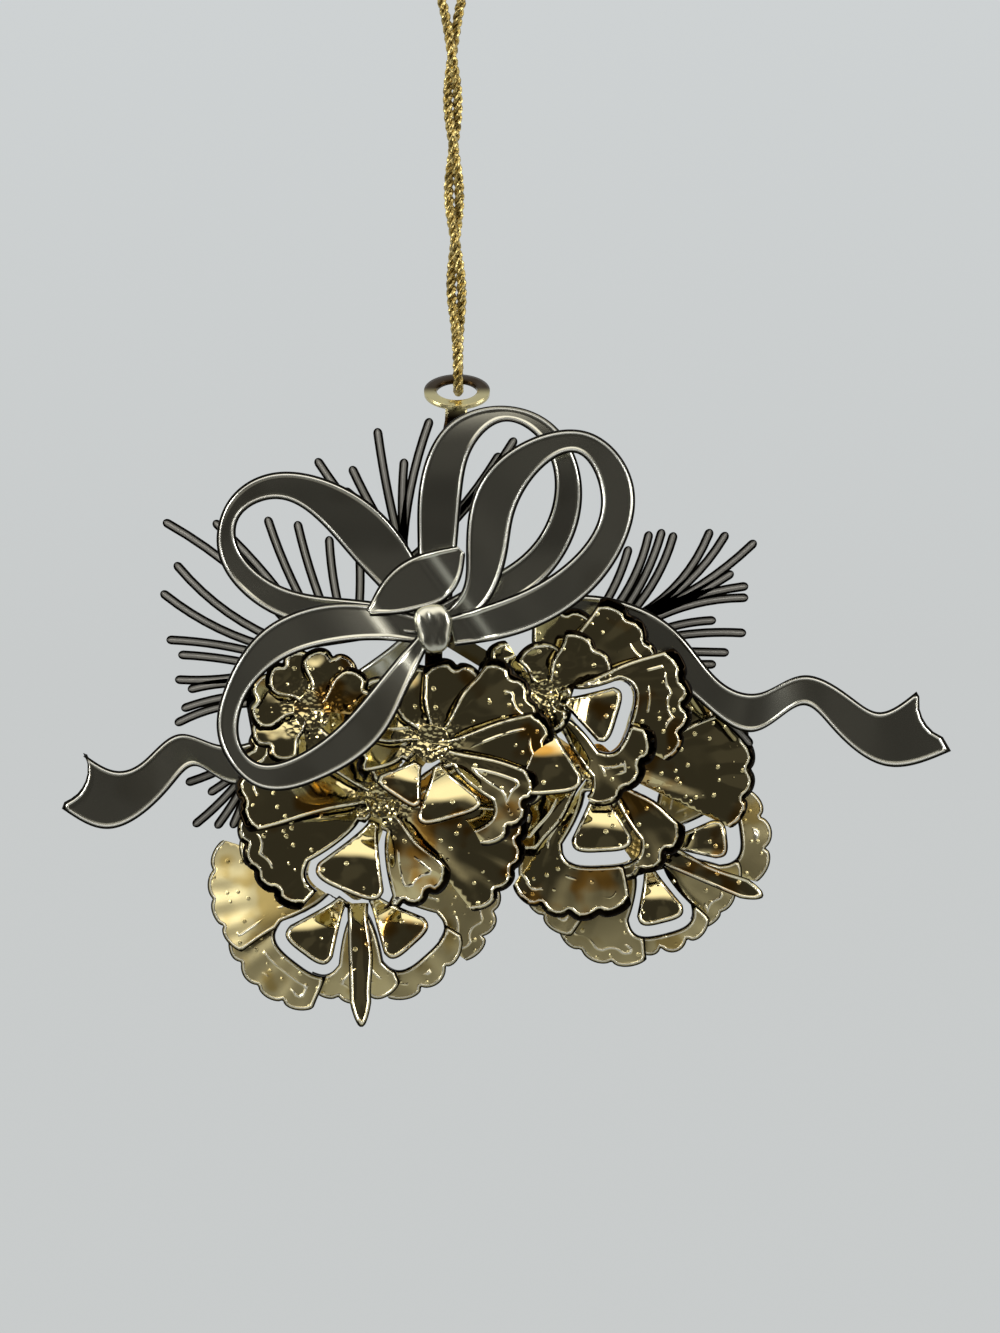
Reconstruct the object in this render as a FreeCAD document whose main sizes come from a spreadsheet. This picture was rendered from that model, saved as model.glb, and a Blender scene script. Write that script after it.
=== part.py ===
import FreeCAD, Part
import math
import os
from FreeCAD import Placement, Rotation, Vector

# Pine cone hanging ornament of etched and plated sheet metal, in millimetres.
# X points right, Z up and the picture side faces -Y. The origin is the centre of the hanging ring.

doc = FreeCAD.newDocument("pine_cone_ornament")

# Driving dimensions

sizes = doc.addObject("Spreadsheet::Sheet", "sizes")
drivingSizes = {
    "sheet_thickness": 0.4,
    "etch_depth": 0.1,
    "rim_width": 0.7,
    "eyelet_radius": 1.9,
    "rivet_radius": 0.8,
    "rivet_clearance": 0.05,
    "rivet_head_height": 0.7,
    "rivet_tail_radius": 1.3,
    "rivet_tail_height": 0.4,
    "joint_x": -2.0,
    "joint_z": -22.0,
    "stack_front": -6.0,
    "bow_bulge": 3.0,
    "ring_radius": 3.05,
    "ring_bore_radius": 1.9,
    "ring_tilt": 33.0,
    "hanger_width": 2.0,
    "spine_width": 1.6,
    "hub_radius": 2.4,
    "tongue_gap": 0.35,
    "quill_width": 2.0,
    "needle_width": 0.85,
    "stem_width": 1.5,
    "strand_diameter": 1.0,
    "cord_knot_radius": 1.4,
    "cord_knot_height": 2.6,
    "cord_knot_seat": 47.5,
    "cord_tail_length": 3.0,
}
for row, (alias, value) in enumerate(drivingSizes.items(), start=1):
    sizes.set("A%d" % row, alias)
    sizes.set("B%d" % row, str(value))
    sizes.setAlias("B%d" % row, alias)
doc.recompute()


def size(alias):
    return float(sizes.get(alias))


sheet = size("sheet_thickness")
joint = Vector(size("joint_x"), 0, size("joint_z"))
hubRadius = size("hub_radius")
strand = size("strand_diameter")

# Long enough for a cut or a prism to pass right through the ornament from front to back
throughDepth = 40.0

# Sheets riveted together at the bow's knot, from the front to the back
stackOrder = [
    "bow_front", "bow_back", "right_ribbon_tail", "hanger_frame", "left_ribbon_tail",
    "needle_spray_top", "needle_spray_left", "needle_spray_right", "left_cone_spine", "right_cone_spine",
]


def layerFront(name):
    return size("stack_front") + sheet * stackOrder.index(name)


# Helpers for formed sheet

def feature(name, shape):
    item = doc.addObject("Part::Feature", name)
    item.Shape = shape
    return item


def bandEdges(stations, inset):
    # Two edges of a flat band with stations (x, z, width), drawn in on each side by at most 0.3 of its width
    left = []
    right = []
    last = len(stations) - 1
    for index, (x, z, width) in enumerate(stations):
        before = stations[max(index - 1, 0)]
        after = stations[min(index + 1, last)]
        run = Vector(after[0] - before[0], 0, after[1] - before[1]).normalize()
        side = Vector(-run.z, 0, run.x) * (width / 2 - min(inset, 0.3 * width))
        left.append(Vector(x, 0, z) + side)
        right.append(Vector(x, 0, z) - side)
    return left, right


def foldedStrip(name, path, width):
    # A strip of flat panels folded across its length, through points (x, y, z) of its front face
    quads = []
    left = []
    right = []
    last = len(path) - 1
    for index, (x, y, z) in enumerate(path):
        before = path[max(index - 1, 0)]
        after = path[min(index + 1, last)]
        run = Vector(after[0] - before[0], 0, after[2] - before[2]).normalize()
        side = Vector(-run.z, 0, run.x) * (width / 2)
        left.append(Vector(x, y, z) + side)
        right.append(Vector(x, y, z) - side)
    for index in range(last):
        edges = [
            Part.makeLine(left[index], left[index + 1]), Part.makeLine(right[index], right[index + 1]),
        ]
        quads.append(Part.makeRuledSurface(*edges))
    surface = feature(name + "_surface", Part.makeShell(quads))
    strip = doc.addObject("Part::Extrusion", name)
    strip.Base = surface
    strip.DirMode = "Custom"
    strip.Dir = Vector(0, 1, 0)
    strip.Solid = True
    strip.setExpression("LengthFwd", "sizes.sheet_thickness")
    return strip


def eyelet(name):
    # Round seat of one sheet in the riveted stack
    disc = doc.addObject("Part::Cylinder", name + "_eyelet")
    disc.setExpression("Radius", "sizes.eyelet_radius")
    disc.setExpression("Height", "sizes.sheet_thickness")
    disc.Placement = Placement(joint + Vector(0, layerFront(name), 0), Rotation(Vector(1, 0, 0), -90))
    return disc


def rivetHole(name):
    hole = doc.addObject("Part::Cylinder", name + "_hole")
    hole.setExpression("Radius", "sizes.rivet_radius + sizes.rivet_clearance")
    hole.Height = throughDepth
    hole.Placement = Placement(joint - Vector(0, throughDepth / 2, 0), Rotation(Vector(1, 0, 0), -90))
    return hole


def rivetedSheet(name, pieces):
    # Fuses the bands of one sheet with its eyelet and bores the rivet's hole
    joined = doc.addObject("Part::MultiFuse", name + "_sheet")
    joined.Shapes = [eyelet(name)] + pieces
    bored = doc.addObject("Part::Cut", name)
    bored.Base = joined
    bored.Tool = rivetHole(name)
    return bored


subParts = []

# Bow: each loop starts and ends at the knot and bulges towards the viewer in between

frontRightLoop = [
    (-0.8, -21.4, 1.9), (1.6, -19.2, 2.6), (2.7, -15.5, 3.7), (3.4, -10.9, 4.1), (7.3, -6.1, 2.8),
    (11.4, -5.2, 2.2), (14.5, -9.2, 3.1), (13.6, -14.2, 3.1), (9.7, -18.5, 3.5), (4.9, -20.9, 3.5),
    (-0.4, -22.2, 2.8),
]
frontLeftLoop = [
    (-3.0, -22.2, 2.4), (-6.7, -21.5, 3.1), (-11.7, -21.6, 3.7), (-16.4, -23.4, 3.3), (-19.8, -27.6, 2.2),
    (-20.4, -32.2, 1.9), (-18.0, -35.1, 2.2), (-12.7, -34.2, 3.0), (-7.9, -30.5, 3.5), (-5.1, -26.2, 2.4),
    (-3.0, -23.0, 1.4),
]
backLeftLoop = [
    (-3.0, -20.8, 3.0), (-4.9, -17.6, 4.0), (-7.3, -14.4, 4.8), (-11.9, -10.3, 3.7), (-16.6, -9.0, 2.4),
    (-20.3, -11.2, 1.7), (-20.9, -14.2, 1.9), (-18.8, -17.7, 2.4), (-14.5, -20.0, 2.8), (-9.0, -20.7, 2.8),
    (-3.4, -21.4, 2.4),
]
backTopLoop = [
    (-2.0, -20.4, 3.0), (-1.7, -13.7, 3.7), (-1.3, -8.6, 3.9), (0.5, -4.3, 3.1), (4.4, -2.4, 1.5),
    (8.1, -4.0, 1.9), (10.1, -8.1, 2.4), (9.5, -12.8, 2.8), (6.8, -16.6, 3.1), (2.1, -19.4, 3.0),
    (-1.2, -21.0, 2.6),
]

# The fold that crosses above the knot, from its narrow left end to its open right end
centreWrap = [
    (-7.8, -20.4, 0.8), (-6.1, -19.3, 3.2), (-4.2, -18.2, 4.6), (-2.4, -17.4, 4.9), (-0.8, -16.2, 3.6),
    (0.4, -14.9, 1.2),
]

# Each sheet is etched flat and then formed: (distance from the knot, forward bulge) along one direction
formWidth = 84.0
runsPerSpan = 2
frontForm = {
    "turn": 36.0,
    "bulge": size("bow_bulge") / 3.0,
    "stations": [
        (-26.0, 1.6), (-20.0, 2.8), (-13.0, 3.0), (-7.0, 1.9), (-2.2, 0.0),
        (2.2, 0.0), (7.0, 1.9), (13.0, 3.0), (20.0, 2.8), (26.0, 1.6),
    ],
}
backForm = {
    "turn": 90.0,
    "bulge": size("bow_bulge") / 3.0,
    "stations": [(-6.0, 0.1), (-2.2, 0.0), (2.2, 0.0), (8.0, -0.2), (13.0, 0.7), (18.0, 0.5), (23.0, -0.8)],
}


def smoothed(points):
    # A smooth edge through the points, cut as short straight runs
    curve = Part.BSplineCurve()
    curve.interpolate(Points=points)
    return curve.discretize(Number=runsPerSpan * (len(points) - 1) + 1)


def closedOutline(points):
    edge = smoothed(points)
    return Part.Face(Part.makePolygon(edge + [edge[0]]))


def loopFace(outline, inset):
    # The flat loop between its outer edge and its teardrop opening, drawn in by an inset on both
    inner, outer = sorted(bandEdges(outline, inset), key=lambda edge: closedOutline(edge).Area)
    return closedOutline(outer).cut(closedOutline(inner[1:-1]))


def leafFace(stations, inset):
    # A filled leaf between its two edges, drawn in by an inset
    left, right = bandEdges(stations, inset)
    outline = smoothed(left) + list(reversed(smoothed(right)))
    return Part.Face(Part.makePolygon(outline + [outline[0]]))


def extrusion(name, base, direction, expression):
    item = doc.addObject("Part::Extrusion", name)
    item.Base = base
    item.DirMode = "Custom"
    item.Dir = direction
    item.Solid = True
    item.setExpression("LengthFwd", expression)
    return item


def formedSheet(name, form, seat, depth, start=0.0):
    # The form's profile, thickened straight back by a depth, drawn out across its direction
    turn = math.radians(form["turn"])
    along = Vector(math.cos(turn), 0, math.sin(turn))
    across = Vector(-along.z, 0, along.x)
    front = [
        joint + along * distance + Vector(0, seat + start - height * form["bulge"], 0)
        for distance, height in form["stations"]
    ]
    back = [point + Vector(0, depth, 0) for point in reversed(front)]
    profile = feature(name + "_profile", Part.Face(Part.makePolygon(front + back + [front[0]])))
    profile.Placement = Placement(across * -formWidth / 2, Rotation())
    return extrusion(name, profile, across, "%g" % formWidth)


def pressedBlank(name, outlineFace, formed):
    # What a flat outline takes out of a formed sheet
    outline = feature(name + "_outline", outlineFace)
    outline.Placement = Placement(Vector(0, -throughDepth / 2, 0), Rotation())
    blank = doc.addObject("Part::Common", name)
    blank.Base = extrusion(name + "_prism", outline, Vector(0, 1, 0), "%g" % throughDepth)
    blank.Tool = formed
    return blank


def pressedSheet(name, form, loops, tabs=()):
    # Outlines cut from a formed sheet, their field etched down between raised rims
    relief = 4.0
    seat = layerFront(name)
    formed = formedSheet(name + "_formed", form, seat, sheet)
    etched = formedSheet(name + "_etched", form, seat, size("etch_depth") + relief, -relief)
    parts = []
    for loop, (faceMaker, outline) in loops.items():
        finished = doc.addObject("Part::Cut", loop)
        finished.Base = pressedBlank(loop + "_blank", faceMaker(outline, 0), formed)
        finished.Tool = pressedBlank(loop + "_field", faceMaker(outline, size("rim_width")), etched)
        parts.append(finished)
    return rivetedSheet(name, parts + list(tabs))


subParts.append(pressedSheet("bow_front", frontForm, {
    "front_right_loop": (loopFace, frontRightLoop), "front_left_loop": (loopFace, frontLeftLoop),
    "centre_wrap": (leafFace, centreWrap),
}))
subParts.append(pressedSheet("bow_back", backForm, {
    "back_left_loop": (loopFace, backLeftLoop), "back_top_loop": (loopFace, backTopLoop),
}))

# Ribbon tails: upper and lower edges as (x, z), with a round bite that leaves the swallow tail

rightTail = {
    "upper": [
        (0.4, -20.7), (4.6, -19.8), (8.4, -19.1), (12.6, -18.8), (17.9, -20.3), (21.2, -22.9), (24.4, -26.7),
        (28.2, -27.8), (32.4, -26.2), (35.7, -27.7), (39.0, -29.6), (42.4, -27.7),
    ],
    "lower": [
        (0.2, -22.9), (4.0, -22.3), (7.8, -21.6), (12.0, -21.5), (16.0, -23.2), (19.0, -25.8), (22.6, -28.8),
        (27.4, -31.5), (32.0, -29.0), (34.6, -31.1), (39.6, -34.6), (45.6, -33.2),
    ],
    "bite": (45.6, -29.0, 2.9),
}
rightTailForm = {
    "turn": 0.0,
    "bulge": 1.0,
    "stations": [
        (-2.0, 0.0), (2.0, 0.0), (6.3, -3.6), (10.1, -4.8), (14.3, -5.7), (22.0, -6.3), (29.8, -6.2),
        (34.2, -4.8), (41.3, -4.0), (48.5, -4.4),
    ],
}
leftTail = {
    "upper": [
        (-4.7, -22.4), (-7.6, -24.6), (-11.6, -27.4), (-18.2, -32.0), (-22.6, -32.6), (-26.0, -31.7),
        (-29.0, -34.0), (-32.4, -34.9), (-34.8, -33.4),
    ],
    "lower": [
        (-3.5, -24.4), (-5.8, -26.6), (-9.6, -29.6), (-17.0, -35.6), (-21.6, -36.2), (-24.4, -34.7),
        (-26.8, -36.8), (-32.4, -40.5), (-36.7, -38.6),
    ],
    "bite": (-37.3, -35.0, 3.0),
}
leftTailForm = {
    "turn": 180.0,
    "bulge": 1.0,
    "stations": [
        (-2.0, 0.0), (2.3, 0.0), (4.7, -5.2), (8.6, -6.8), (15.6, -7.3), (24.0, -6.8), (30.4, -5.8), (37.5, -5.4),
    ],
}


def tailFace(tail, inset):
    # The ribbon's flat outline with its bite taken out, drawn in by an inset
    upper = []
    lower = []
    for high, low in zip(tail["upper"], tail["lower"]):
        high = Vector(high[0], 0, high[1])
        low = Vector(low[0], 0, low[1])
        across = (low - high).normalize() * inset
        upper.append(high + across)
        lower.append(low - across)
    outline = smoothed(upper) + list(reversed(smoothed(lower)))
    x, z, radius = tail["bite"]
    bite = Part.Face(Part.Wire(Part.makeCircle(radius + inset, Vector(x, 0, z), Vector(0, 1, 0))))
    return Part.Face(Part.makePolygon(outline + [outline[0]])).cut(bite)


def tailTab(name, tail):
    # The strip that joins a ribbon's root to its eyelet
    root = (Vector(*tail["upper"][0], 0) + Vector(*tail["lower"][0], 0)) * 0.5
    root = Vector(root.x, 0, root.y)
    reach = (root - joint).normalize() * 0.1
    seat = Vector(0, layerFront(name), 0)
    width = math.dist(tail["upper"][0], tail["lower"][0])
    return foldedStrip(name + "_tab", [tuple(joint + seat), tuple(root + reach + seat)], width)


for name, form, tail in (
    ("right_ribbon_tail", rightTailForm, rightTail), ("left_ribbon_tail", leftTailForm, leftTail),
):
    subParts.append(pressedSheet(name, form, {name + "_band": (tailFace, tail)}, [tailTab(name, tail)]))

# Hanger: a strip that climbs behind the bow and carries the tilted hanging ring

ringTilt = size("ring_tilt")
ringRotation = Rotation(Vector(1, 0, 0), ringTilt)


def washer(name, outerAlias, innerAlias, placement):
    disc = doc.addObject("Part::Cylinder", name + "_disc")
    disc.setExpression("Radius", "sizes." + outerAlias)
    disc.setExpression("Height", "sizes.sheet_thickness")
    disc.Placement = placement
    bore = doc.addObject("Part::Cylinder", name + "_bore")
    bore.setExpression("Radius", "sizes." + innerAlias)
    bore.setExpression("Height", "sizes.sheet_thickness")
    bore.Placement = placement
    ring = doc.addObject("Part::Cut", name)
    ring.Base = disc
    ring.Tool = bore
    return ring


ringPlacement = Placement(ringRotation.multVec(Vector(0, 0, -sheet / 2)), ringRotation)
hangingRing = washer("hanging_ring", "ring_radius", "ring_bore_radius", ringPlacement)
ringMiddle = (size("ring_radius") + size("ring_bore_radius")) / 2
ringNear = ringRotation.multVec(Vector(0, -ringMiddle, 0))
ringFar = ringRotation.multVec(Vector(0, ringMiddle, 0))
hangerSeat = layerFront("hanger_frame")
hangerPath = [
    (joint.x, hangerSeat, joint.z), (joint.x, hangerSeat, joint.z + 2.2), (-1.7, -4.0, -13.0),
    (-0.9, -3.0, -7.0), (-0.1, ringNear.y - sheet, ringNear.z - 1.6),
    (ringNear.x, ringNear.y - sheet / 2, ringNear.z),
]
hangerStrip = foldedStrip("hanger_strip", hangerPath, size("hanger_width"))
subParts.append(rivetedSheet("hanger_frame", [hangerStrip, hangingRing]))

# Pine needles: flat sprays on a stem, each needle from its root to its rounded tip with a slight bow

def needle(root, tip, bow, y):
    # Blunt-tipped strip of two straight runs, bowed sideways at the middle
    rootPoint = Vector(root[0], y, root[1])
    tipPoint = Vector(tip[0], y, tip[1])
    run = (tipPoint - rootPoint).normalize()
    side = Vector(-run.z, 0, run.x)
    half = size("needle_width") / 2
    middle = (rootPoint + tipPoint) * 0.5 + side * bow
    blunt = half * 0.7
    outline = [
        rootPoint + side * half, middle + side * half, tipPoint + side * blunt,
        tipPoint - side * blunt, middle - side * half, rootPoint - side * half,
    ]
    face = Part.Face(Part.makePolygon(outline + [outline[0]]))
    return face.extrude(Vector(0, sheet, 0))


def needleSpray(name, stemPath, needles):
    y = stemPath[-1][1]
    stem = foldedStrip(name + "_stem", stemPath, size("stem_width"))
    blades = [needle(root, tip, bow, y) for root, tip, bow in needles]
    fan = feature(name + "_fan", blades[0].multiFuse(blades[1:]).removeSplitter())
    return rivetedSheet(name, [stem, fan])


topSeat = layerFront("needle_spray_top")
topStem = [(joint.x, topSeat, joint.z), (-3.4, topSeat, -20.4), (-4.6, -3.0, -17.2), (-5.2, -2.6, -14.6)]
topNeedles = [
    ((-5.4, -15.2), (-12.9, -6.3), 0.4), ((-5.2, -15.0), (-9.7, -7.0), 0.2),
    ((-5.4, -14.4), (-10.4, -9.1), -0.3), ((-5.0, -15.0), (-7.3, -3.5), 0.2),
    ((-4.8, -15.4), (-4.8, -6.3), 0.2), ((-5.0, -15.2), (-2.4, -2.6), 0.5),
    ((-4.8, -16.0), (4.0, -5.8), -0.6), ((-4.6, -16.4), (5.4, -4.4), -0.6),
]
subParts.append(needleSpray("needle_spray_top", topStem, topNeedles))

leftStemSeat = layerFront("needle_spray_left")
leftPlane = 3.6
leftStem = [
    (joint.x, leftStemSeat, joint.z), (-4.3, leftStemSeat, -22.0), (-6.6, 1.2, -22.0),
    (-8.8, leftPlane, -22.2), (-15.2, leftPlane, -23.2), (-18.6, leftPlane, -25.0),
    (-19.0, leftPlane, -29.0), (-18.8, leftPlane, -33.6),
]
leftNeedles = [
    ((-14.6, -22.9), (-27.5, -11.8), -0.9), ((-13.6, -22.8), (-22.8, -11.8), -0.5),
    ((-15.8, -23.3), (-26.4, -15.7), 0.9), ((-16.8, -23.8), (-27.7, -18.4), 0.7),
    ((-17.8, -24.4), (-27.2, -22.9), -0.3), ((-18.2, -25.4), (-26.1, -24.3), -0.2),
    ((-18.6, -26.0), (-26.4, -26.6), 0.3), ((-18.8, -27.0), (-25.2, -27.6), -0.3),
    ((-18.8, -28.0), (-25.8, -29.4), -0.3), ((-18.8, -28.8), (-26.4, -30.8), -0.5),
    ((-12.6, -22.6), (-17.8, -11.4), 0.4), ((-11.4, -22.6), (-15.0, -11.8), 0.3),
    ((-10.4, -22.4), (-12.0, -13.2), 0.3), ((-9.4, -22.2), (-9.2, -14.0), -0.2),
    ((-18.6, -33.0), (-25.4, -36.3), 0.3), ((-18.4, -33.4), (-23.3, -37.3), 0.2),
    ((-18.6, -33.6), (-24.7, -40.3), 0.4), ((-18.6, -33.4), (-22.6, -40.5), 0.3),
    ((-18.8, -33.2), (-21.1, -40.5), 0.3),
]
subParts.append(needleSpray("needle_spray_left", leftStem, leftNeedles))

rightStemSeat = layerFront("needle_spray_right")
rightPlane = 2.2
rightStem = [
    (joint.x, rightStemSeat, joint.z), (0.3, rightStemSeat, -21.6), (3.4, -0.2, -20.8), (7.4, 1.8, -20.0),
    (12.0, rightPlane, -20.2), (17.0, rightPlane, -20.8), (20.4, rightPlane, -23.2), (24.4, rightPlane, -30.0),
]
rightNeedles = [
    ((13.2, -20.4), (16.0, -14.2), -0.3), ((14.4, -20.4), (17.9, -12.8), -0.5),
    ((15.4, -20.4), (19.1, -12.6), -0.4), ((16.2, -20.4), (20.2, -12.9), -0.5),
    ((17.0, -20.6), (23.6, -12.6), -0.9), ((17.2, -20.6), (25.1, -12.9), -0.8),
    ((17.4, -20.6), (27.8, -13.7), -0.6), ((17.6, -20.6), (25.7, -16.6), -0.3),
    ((17.6, -20.6), (27.1, -17.9), 0.4), ((17.8, -21.2), (27.1, -19.0), 0.6),
    ((19.0, -22.0), (24.1, -21.1), 0.2), ((20.0, -22.6), (26.9, -22.3), 0.2),
    ((20.8, -24.0), (25.3, -24.1), 0.0), ((21.4, -25.2), (24.1, -25.2), 0.0),
    ((24.2, -29.8), (27.4, -32.8), 0.2),
]
subParts.append(needleSpray("needle_spray_right", rightStem, rightNeedles))

# Cone tiers: a hub with folded scales round it; a scale is (angle, flare, share of the reach, kind).
# A tongue is (angle, length, half width, lift): cut free from the scales and folded forward.

hubOverlap = 0.3
openingRoot = 0.5


def mirrored(half):
    # A closed outline from its half as (distance along the scale, half width)
    other = [(x, -side) for x, side in reversed(half)]
    return [Vector(x, 0, side) for x, side in half + other]


def scaleOutline(reach, halfAngle, radius, kind):
    # Outline in the tier's plane with the radius along X: straight flanks and a blunt tip
    root = radius - hubOverlap
    spread = math.tan(math.radians(halfAngle))
    if kind == "flap":
        rootHalf = 0.75
        wide = reach * spread * 0.92
    elif kind == "quill":
        rootHalf = size("quill_width") / 2
        wide = rootHalf
    else:
        rootHalf = root * spread
        wide = 0.82 * reach * spread
    return mirrored([
        (root, rootHalf), (0.84 * reach, wide), (0.96 * reach, 0.62 * wide), (0.99 * reach, 0.2 * wide),
    ])


def tongueOutline(length, half, radius, gap):
    # A tongue that widens towards its rounded end, or with a gap the opening that it leaves
    root = radius - hubOverlap
    start = root + openingRoot if gap else root
    return mirrored([
        (start, 0.5 + gap), (0.74 * length, half + gap), (0.92 * length + gap, 0.7 * half + gap),
        (length + gap, 0.25 * half),
    ])


def scaleProfile(reach, radius, fall):
    # Folded section along the radius: it leans back from the hub in two panels
    root = radius - hubOverlap
    stations = [(root, 0.0), (0.62 * reach, 0.27 * fall), (1.05 * reach, 1.15 * fall)]
    front = [Vector(distance, depth, 0) for distance, depth in stations]
    back = [point + Vector(0, sheet, 0) for point in reversed(front)]
    return front + back


def prism(outline, reach):
    face = Part.Face(Part.makePolygon(outline + [outline[0]]))
    face.translate(Vector(0, -reach, 0))
    return face.extrude(Vector(0, 4 * reach, 0))


def foldedScale(reach, radius, fall, blank):
    profile = scaleProfile(reach, radius, fall)
    section = Part.Face(Part.makePolygon(profile + [profile[0]]))
    section.translate(Vector(0, 0, -reach))
    return blank.common(section.extrude(Vector(0, 0, 2 * reach)))


def placed(shape, radius, fold, angle):
    # Folded about the hub's edge, then turned to its place round the hub
    shape.rotate(Vector(radius - hubOverlap, 0, 0), Vector(0, 0, 1), -fold)
    shape.rotate(Vector(0, 0, 0), Vector(0, 1, 0), -angle)
    return shape


def tierShape(tier, radius):
    body = Part.makeCylinder(radius, sheet, Vector(0, 0, 0), Vector(0, 1, 0))
    scales = []
    for angle, flare, share, kind in tier["scales"]:
        reach = tier["reach"] * share
        blank = prism(scaleOutline(reach, tier["halfAngle"], radius, kind), reach)
        scales.append(placed(foldedScale(reach, radius, tier["fall"] * share, blank), radius, flare, angle))
    body = body.multiFuse(scales)
    openings = []
    tongues = []
    for angle, length, half, lift in tier["tongues"]:
        opening = prism(tongueOutline(length, half, radius, size("tongue_gap")), length)
        openings.append(placed(opening, radius, 0, angle))
        blank = prism(tongueOutline(length, half, radius, 0), length)
        tongues.append(placed(foldedScale(length, radius, 0.12 * length, blank), radius, lift, angle))
    if tongues:
        body = body.cut(openings).multiFuse(tongues)
    return body


leftCone = {
    "left_cone_scales_1": {
        "hub": (-13.0, -7.6, -29.4), "reach": 5.8, "fall": 1.0, "halfAngle": 24,
        "scales": [
            (24, 14, 1.0, "scale"), (72, 4, 1.0, "scale"), (124, 20, 0.95, "scale"), (172, 8, 1.0, "scale"),
            (222, 24, 1.0, "scale"), (276, 6, 0.95, "scale"),
        ],
        "tongues": [],
    },
    "left_cone_scales_2": {
        "hub": (-2.3, -5.6, -32.4), "reach": 11.6, "fall": 2.0, "halfAngle": 20,
        "scales": [
            (-6, 0, 1.0, "scale"), (34, 0, 0.9, "scale"), (74, 8, 0.68, "scale"), (114, 8, 0.62, "scale"),
            (154, 4, 0.72, "scale"), (194, 6, 0.62, "scale"), (236, 16, 0.5, "flap"), (322, 2, 0.96, "scale"),
        ],
        "tongues": [(286, 7.6, 2.6, 24)],
    },
    "left_cone_scales_3": {
        "hub": (-6.7, -2.2, -37.7), "reach": 14.0, "fall": 2.8, "halfAngle": 20,
        "scales": [
            (247, 18, 0.72, "flap"), (290, 0, 0.74, "scale"), (334, 3, 1.0, "scale"), (10, 0, 1.0, "scale"),
            (92, 0, 0.72, "scale"), (132, 0, 0.9, "scale"), (172, 0, 1.0, "scale"), (211, 4, 1.0, "scale"),
        ],
        "tongues": [],
    },
    "left_cone_scales_4": {
        "hub": (-9.3, 1.8, -45.3), "reach": 13.6, "fall": 2.6, "halfAngle": 20,
        "scales": [
            (229, 2, 1.03, "scale"), (270, 0, 0.86, "scale"), (310, 2, 0.9, "scale"), (349, 0, 0.94, "scale"),
            (29, 0, 0.86, "scale"), (150, 0, 0.88, "scale"), (190, 0, 1.04, "scale"), (272, 24, 0.98, "quill"),
        ],
        "tongues": [(233, 8.8, 2.4, 22), (312, 8.6, 2.4, 22)],
    },
}
rightCone = {
    "right_cone_scales_1": {
        "hub": (7.9, -2.8, -28.0), "reach": 6.0, "fall": 0.8, "halfAngle": 24, "hubShare": 0.8,
        "scales": [
            (44, 8, 1.15, "scale"), (100, 14, 0.8, "scale"), (232, 16, 0.9, "scale"), (298, 26, 0.62, "scale"),
        ],
        "tongues": [],
    },
    "right_cone_scales_2": {
        "hub": (7.9, -2.4, -28.0), "reach": 14.0, "fall": 2.2, "halfAngle": 20,
        "scales": [
            (-2, 0, 1.0, "scale"), (37, 0, 0.82, "scale"), (76, 0, 0.62, "scale"), (150, 20, 0.46, "scale"),
            (190, 0, 0.4, "scale"), (232, 0, 0.42, "scale"), (275, 12, 0.72, "flap"), (320, 4, 0.86, "scale"),
        ],
        "tongues": [(343, 7.6, 2.6, 26)],
    },
    "right_cone_scales_3": {
        "hub": (13.0, 1.8, -34.4), "reach": 15.0, "fall": 2.6, "halfAngle": 20,
        "scales": [
            (262, 0, 1.0, "scale"), (302, 4, 0.76, "scale"), (0, 0, 1.0, "scale"), (32, 0, 0.84, "scale"),
            (70, 0, 0.6, "scale"), (172, 0, 0.6, "scale"), (214, 0, 0.78, "scale"),
        ],
        "tongues": [(273, 8.8, 2.6, 22)],
    },
    "right_cone_scales_4": {
        "hub": (17.4, 5.2, -42.2), "reach": 12.0, "fall": 2.2, "halfAngle": 20,
        "scales": [
            (8, 2, 1.02, "scale"), (48, 0, 0.85, "scale"), (170, 0, 0.9, "scale"), (210, 4, 1.0, "scale"),
            (250, 0, 1.0, "scale"), (290, 2, 0.88, "scale"), (329, 0, 0.85, "scale"), (337, 14, 1.0, "quill"),
        ],
        "tongues": [(6, 8.4, 1.8, 24), (284, 7.8, 2.2, 22)],
    },
}


def coneTier(name, tier):
    radius = tier.get("hubShare", 1.0) * hubRadius
    item = feature(name, tierShape(tier, radius))
    item.Placement = Placement(Vector(*tier["hub"]), Rotation())
    return item


# The left cone's first tier has an arm of its own that lies on the next tier's hub
firstHub = Vector(*leftCone["left_cone_scales_1"]["hub"])
secondHub = Vector(*leftCone["left_cone_scales_2"]["hub"]) - Vector(0, sheet, 0)
armRun = Vector(secondHub.x - firstHub.x, 0, secondHub.z - firstHub.z).normalize()
armPath = [
    tuple(firstHub), tuple(firstHub + armRun * 1.6), tuple(secondHub - armRun * 1.8),
    tuple(secondHub + armRun * 0.8),
]
crown = doc.addObject("Part::MultiFuse", "left_cone_scales_1")
crown.Shapes = [
    coneTier("left_cone_crown", leftCone["left_cone_scales_1"]),
    foldedStrip("left_cone_arm", armPath, size("spine_width")),
]
subParts.append(crown)
for name, tier in {**leftCone, **rightCone}.items():
    if name != crown.Name:
        subParts.append(coneTier(name, tier))


# Cone spines: stepped strips from the riveted stack, with a seat behind each tier's hub

def spineSeats(cone, names):
    seats = []
    for name in names:
        x, y, z = cone[name]["hub"]
        seats.append((x, y + sheet, z))
    return seats


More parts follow.
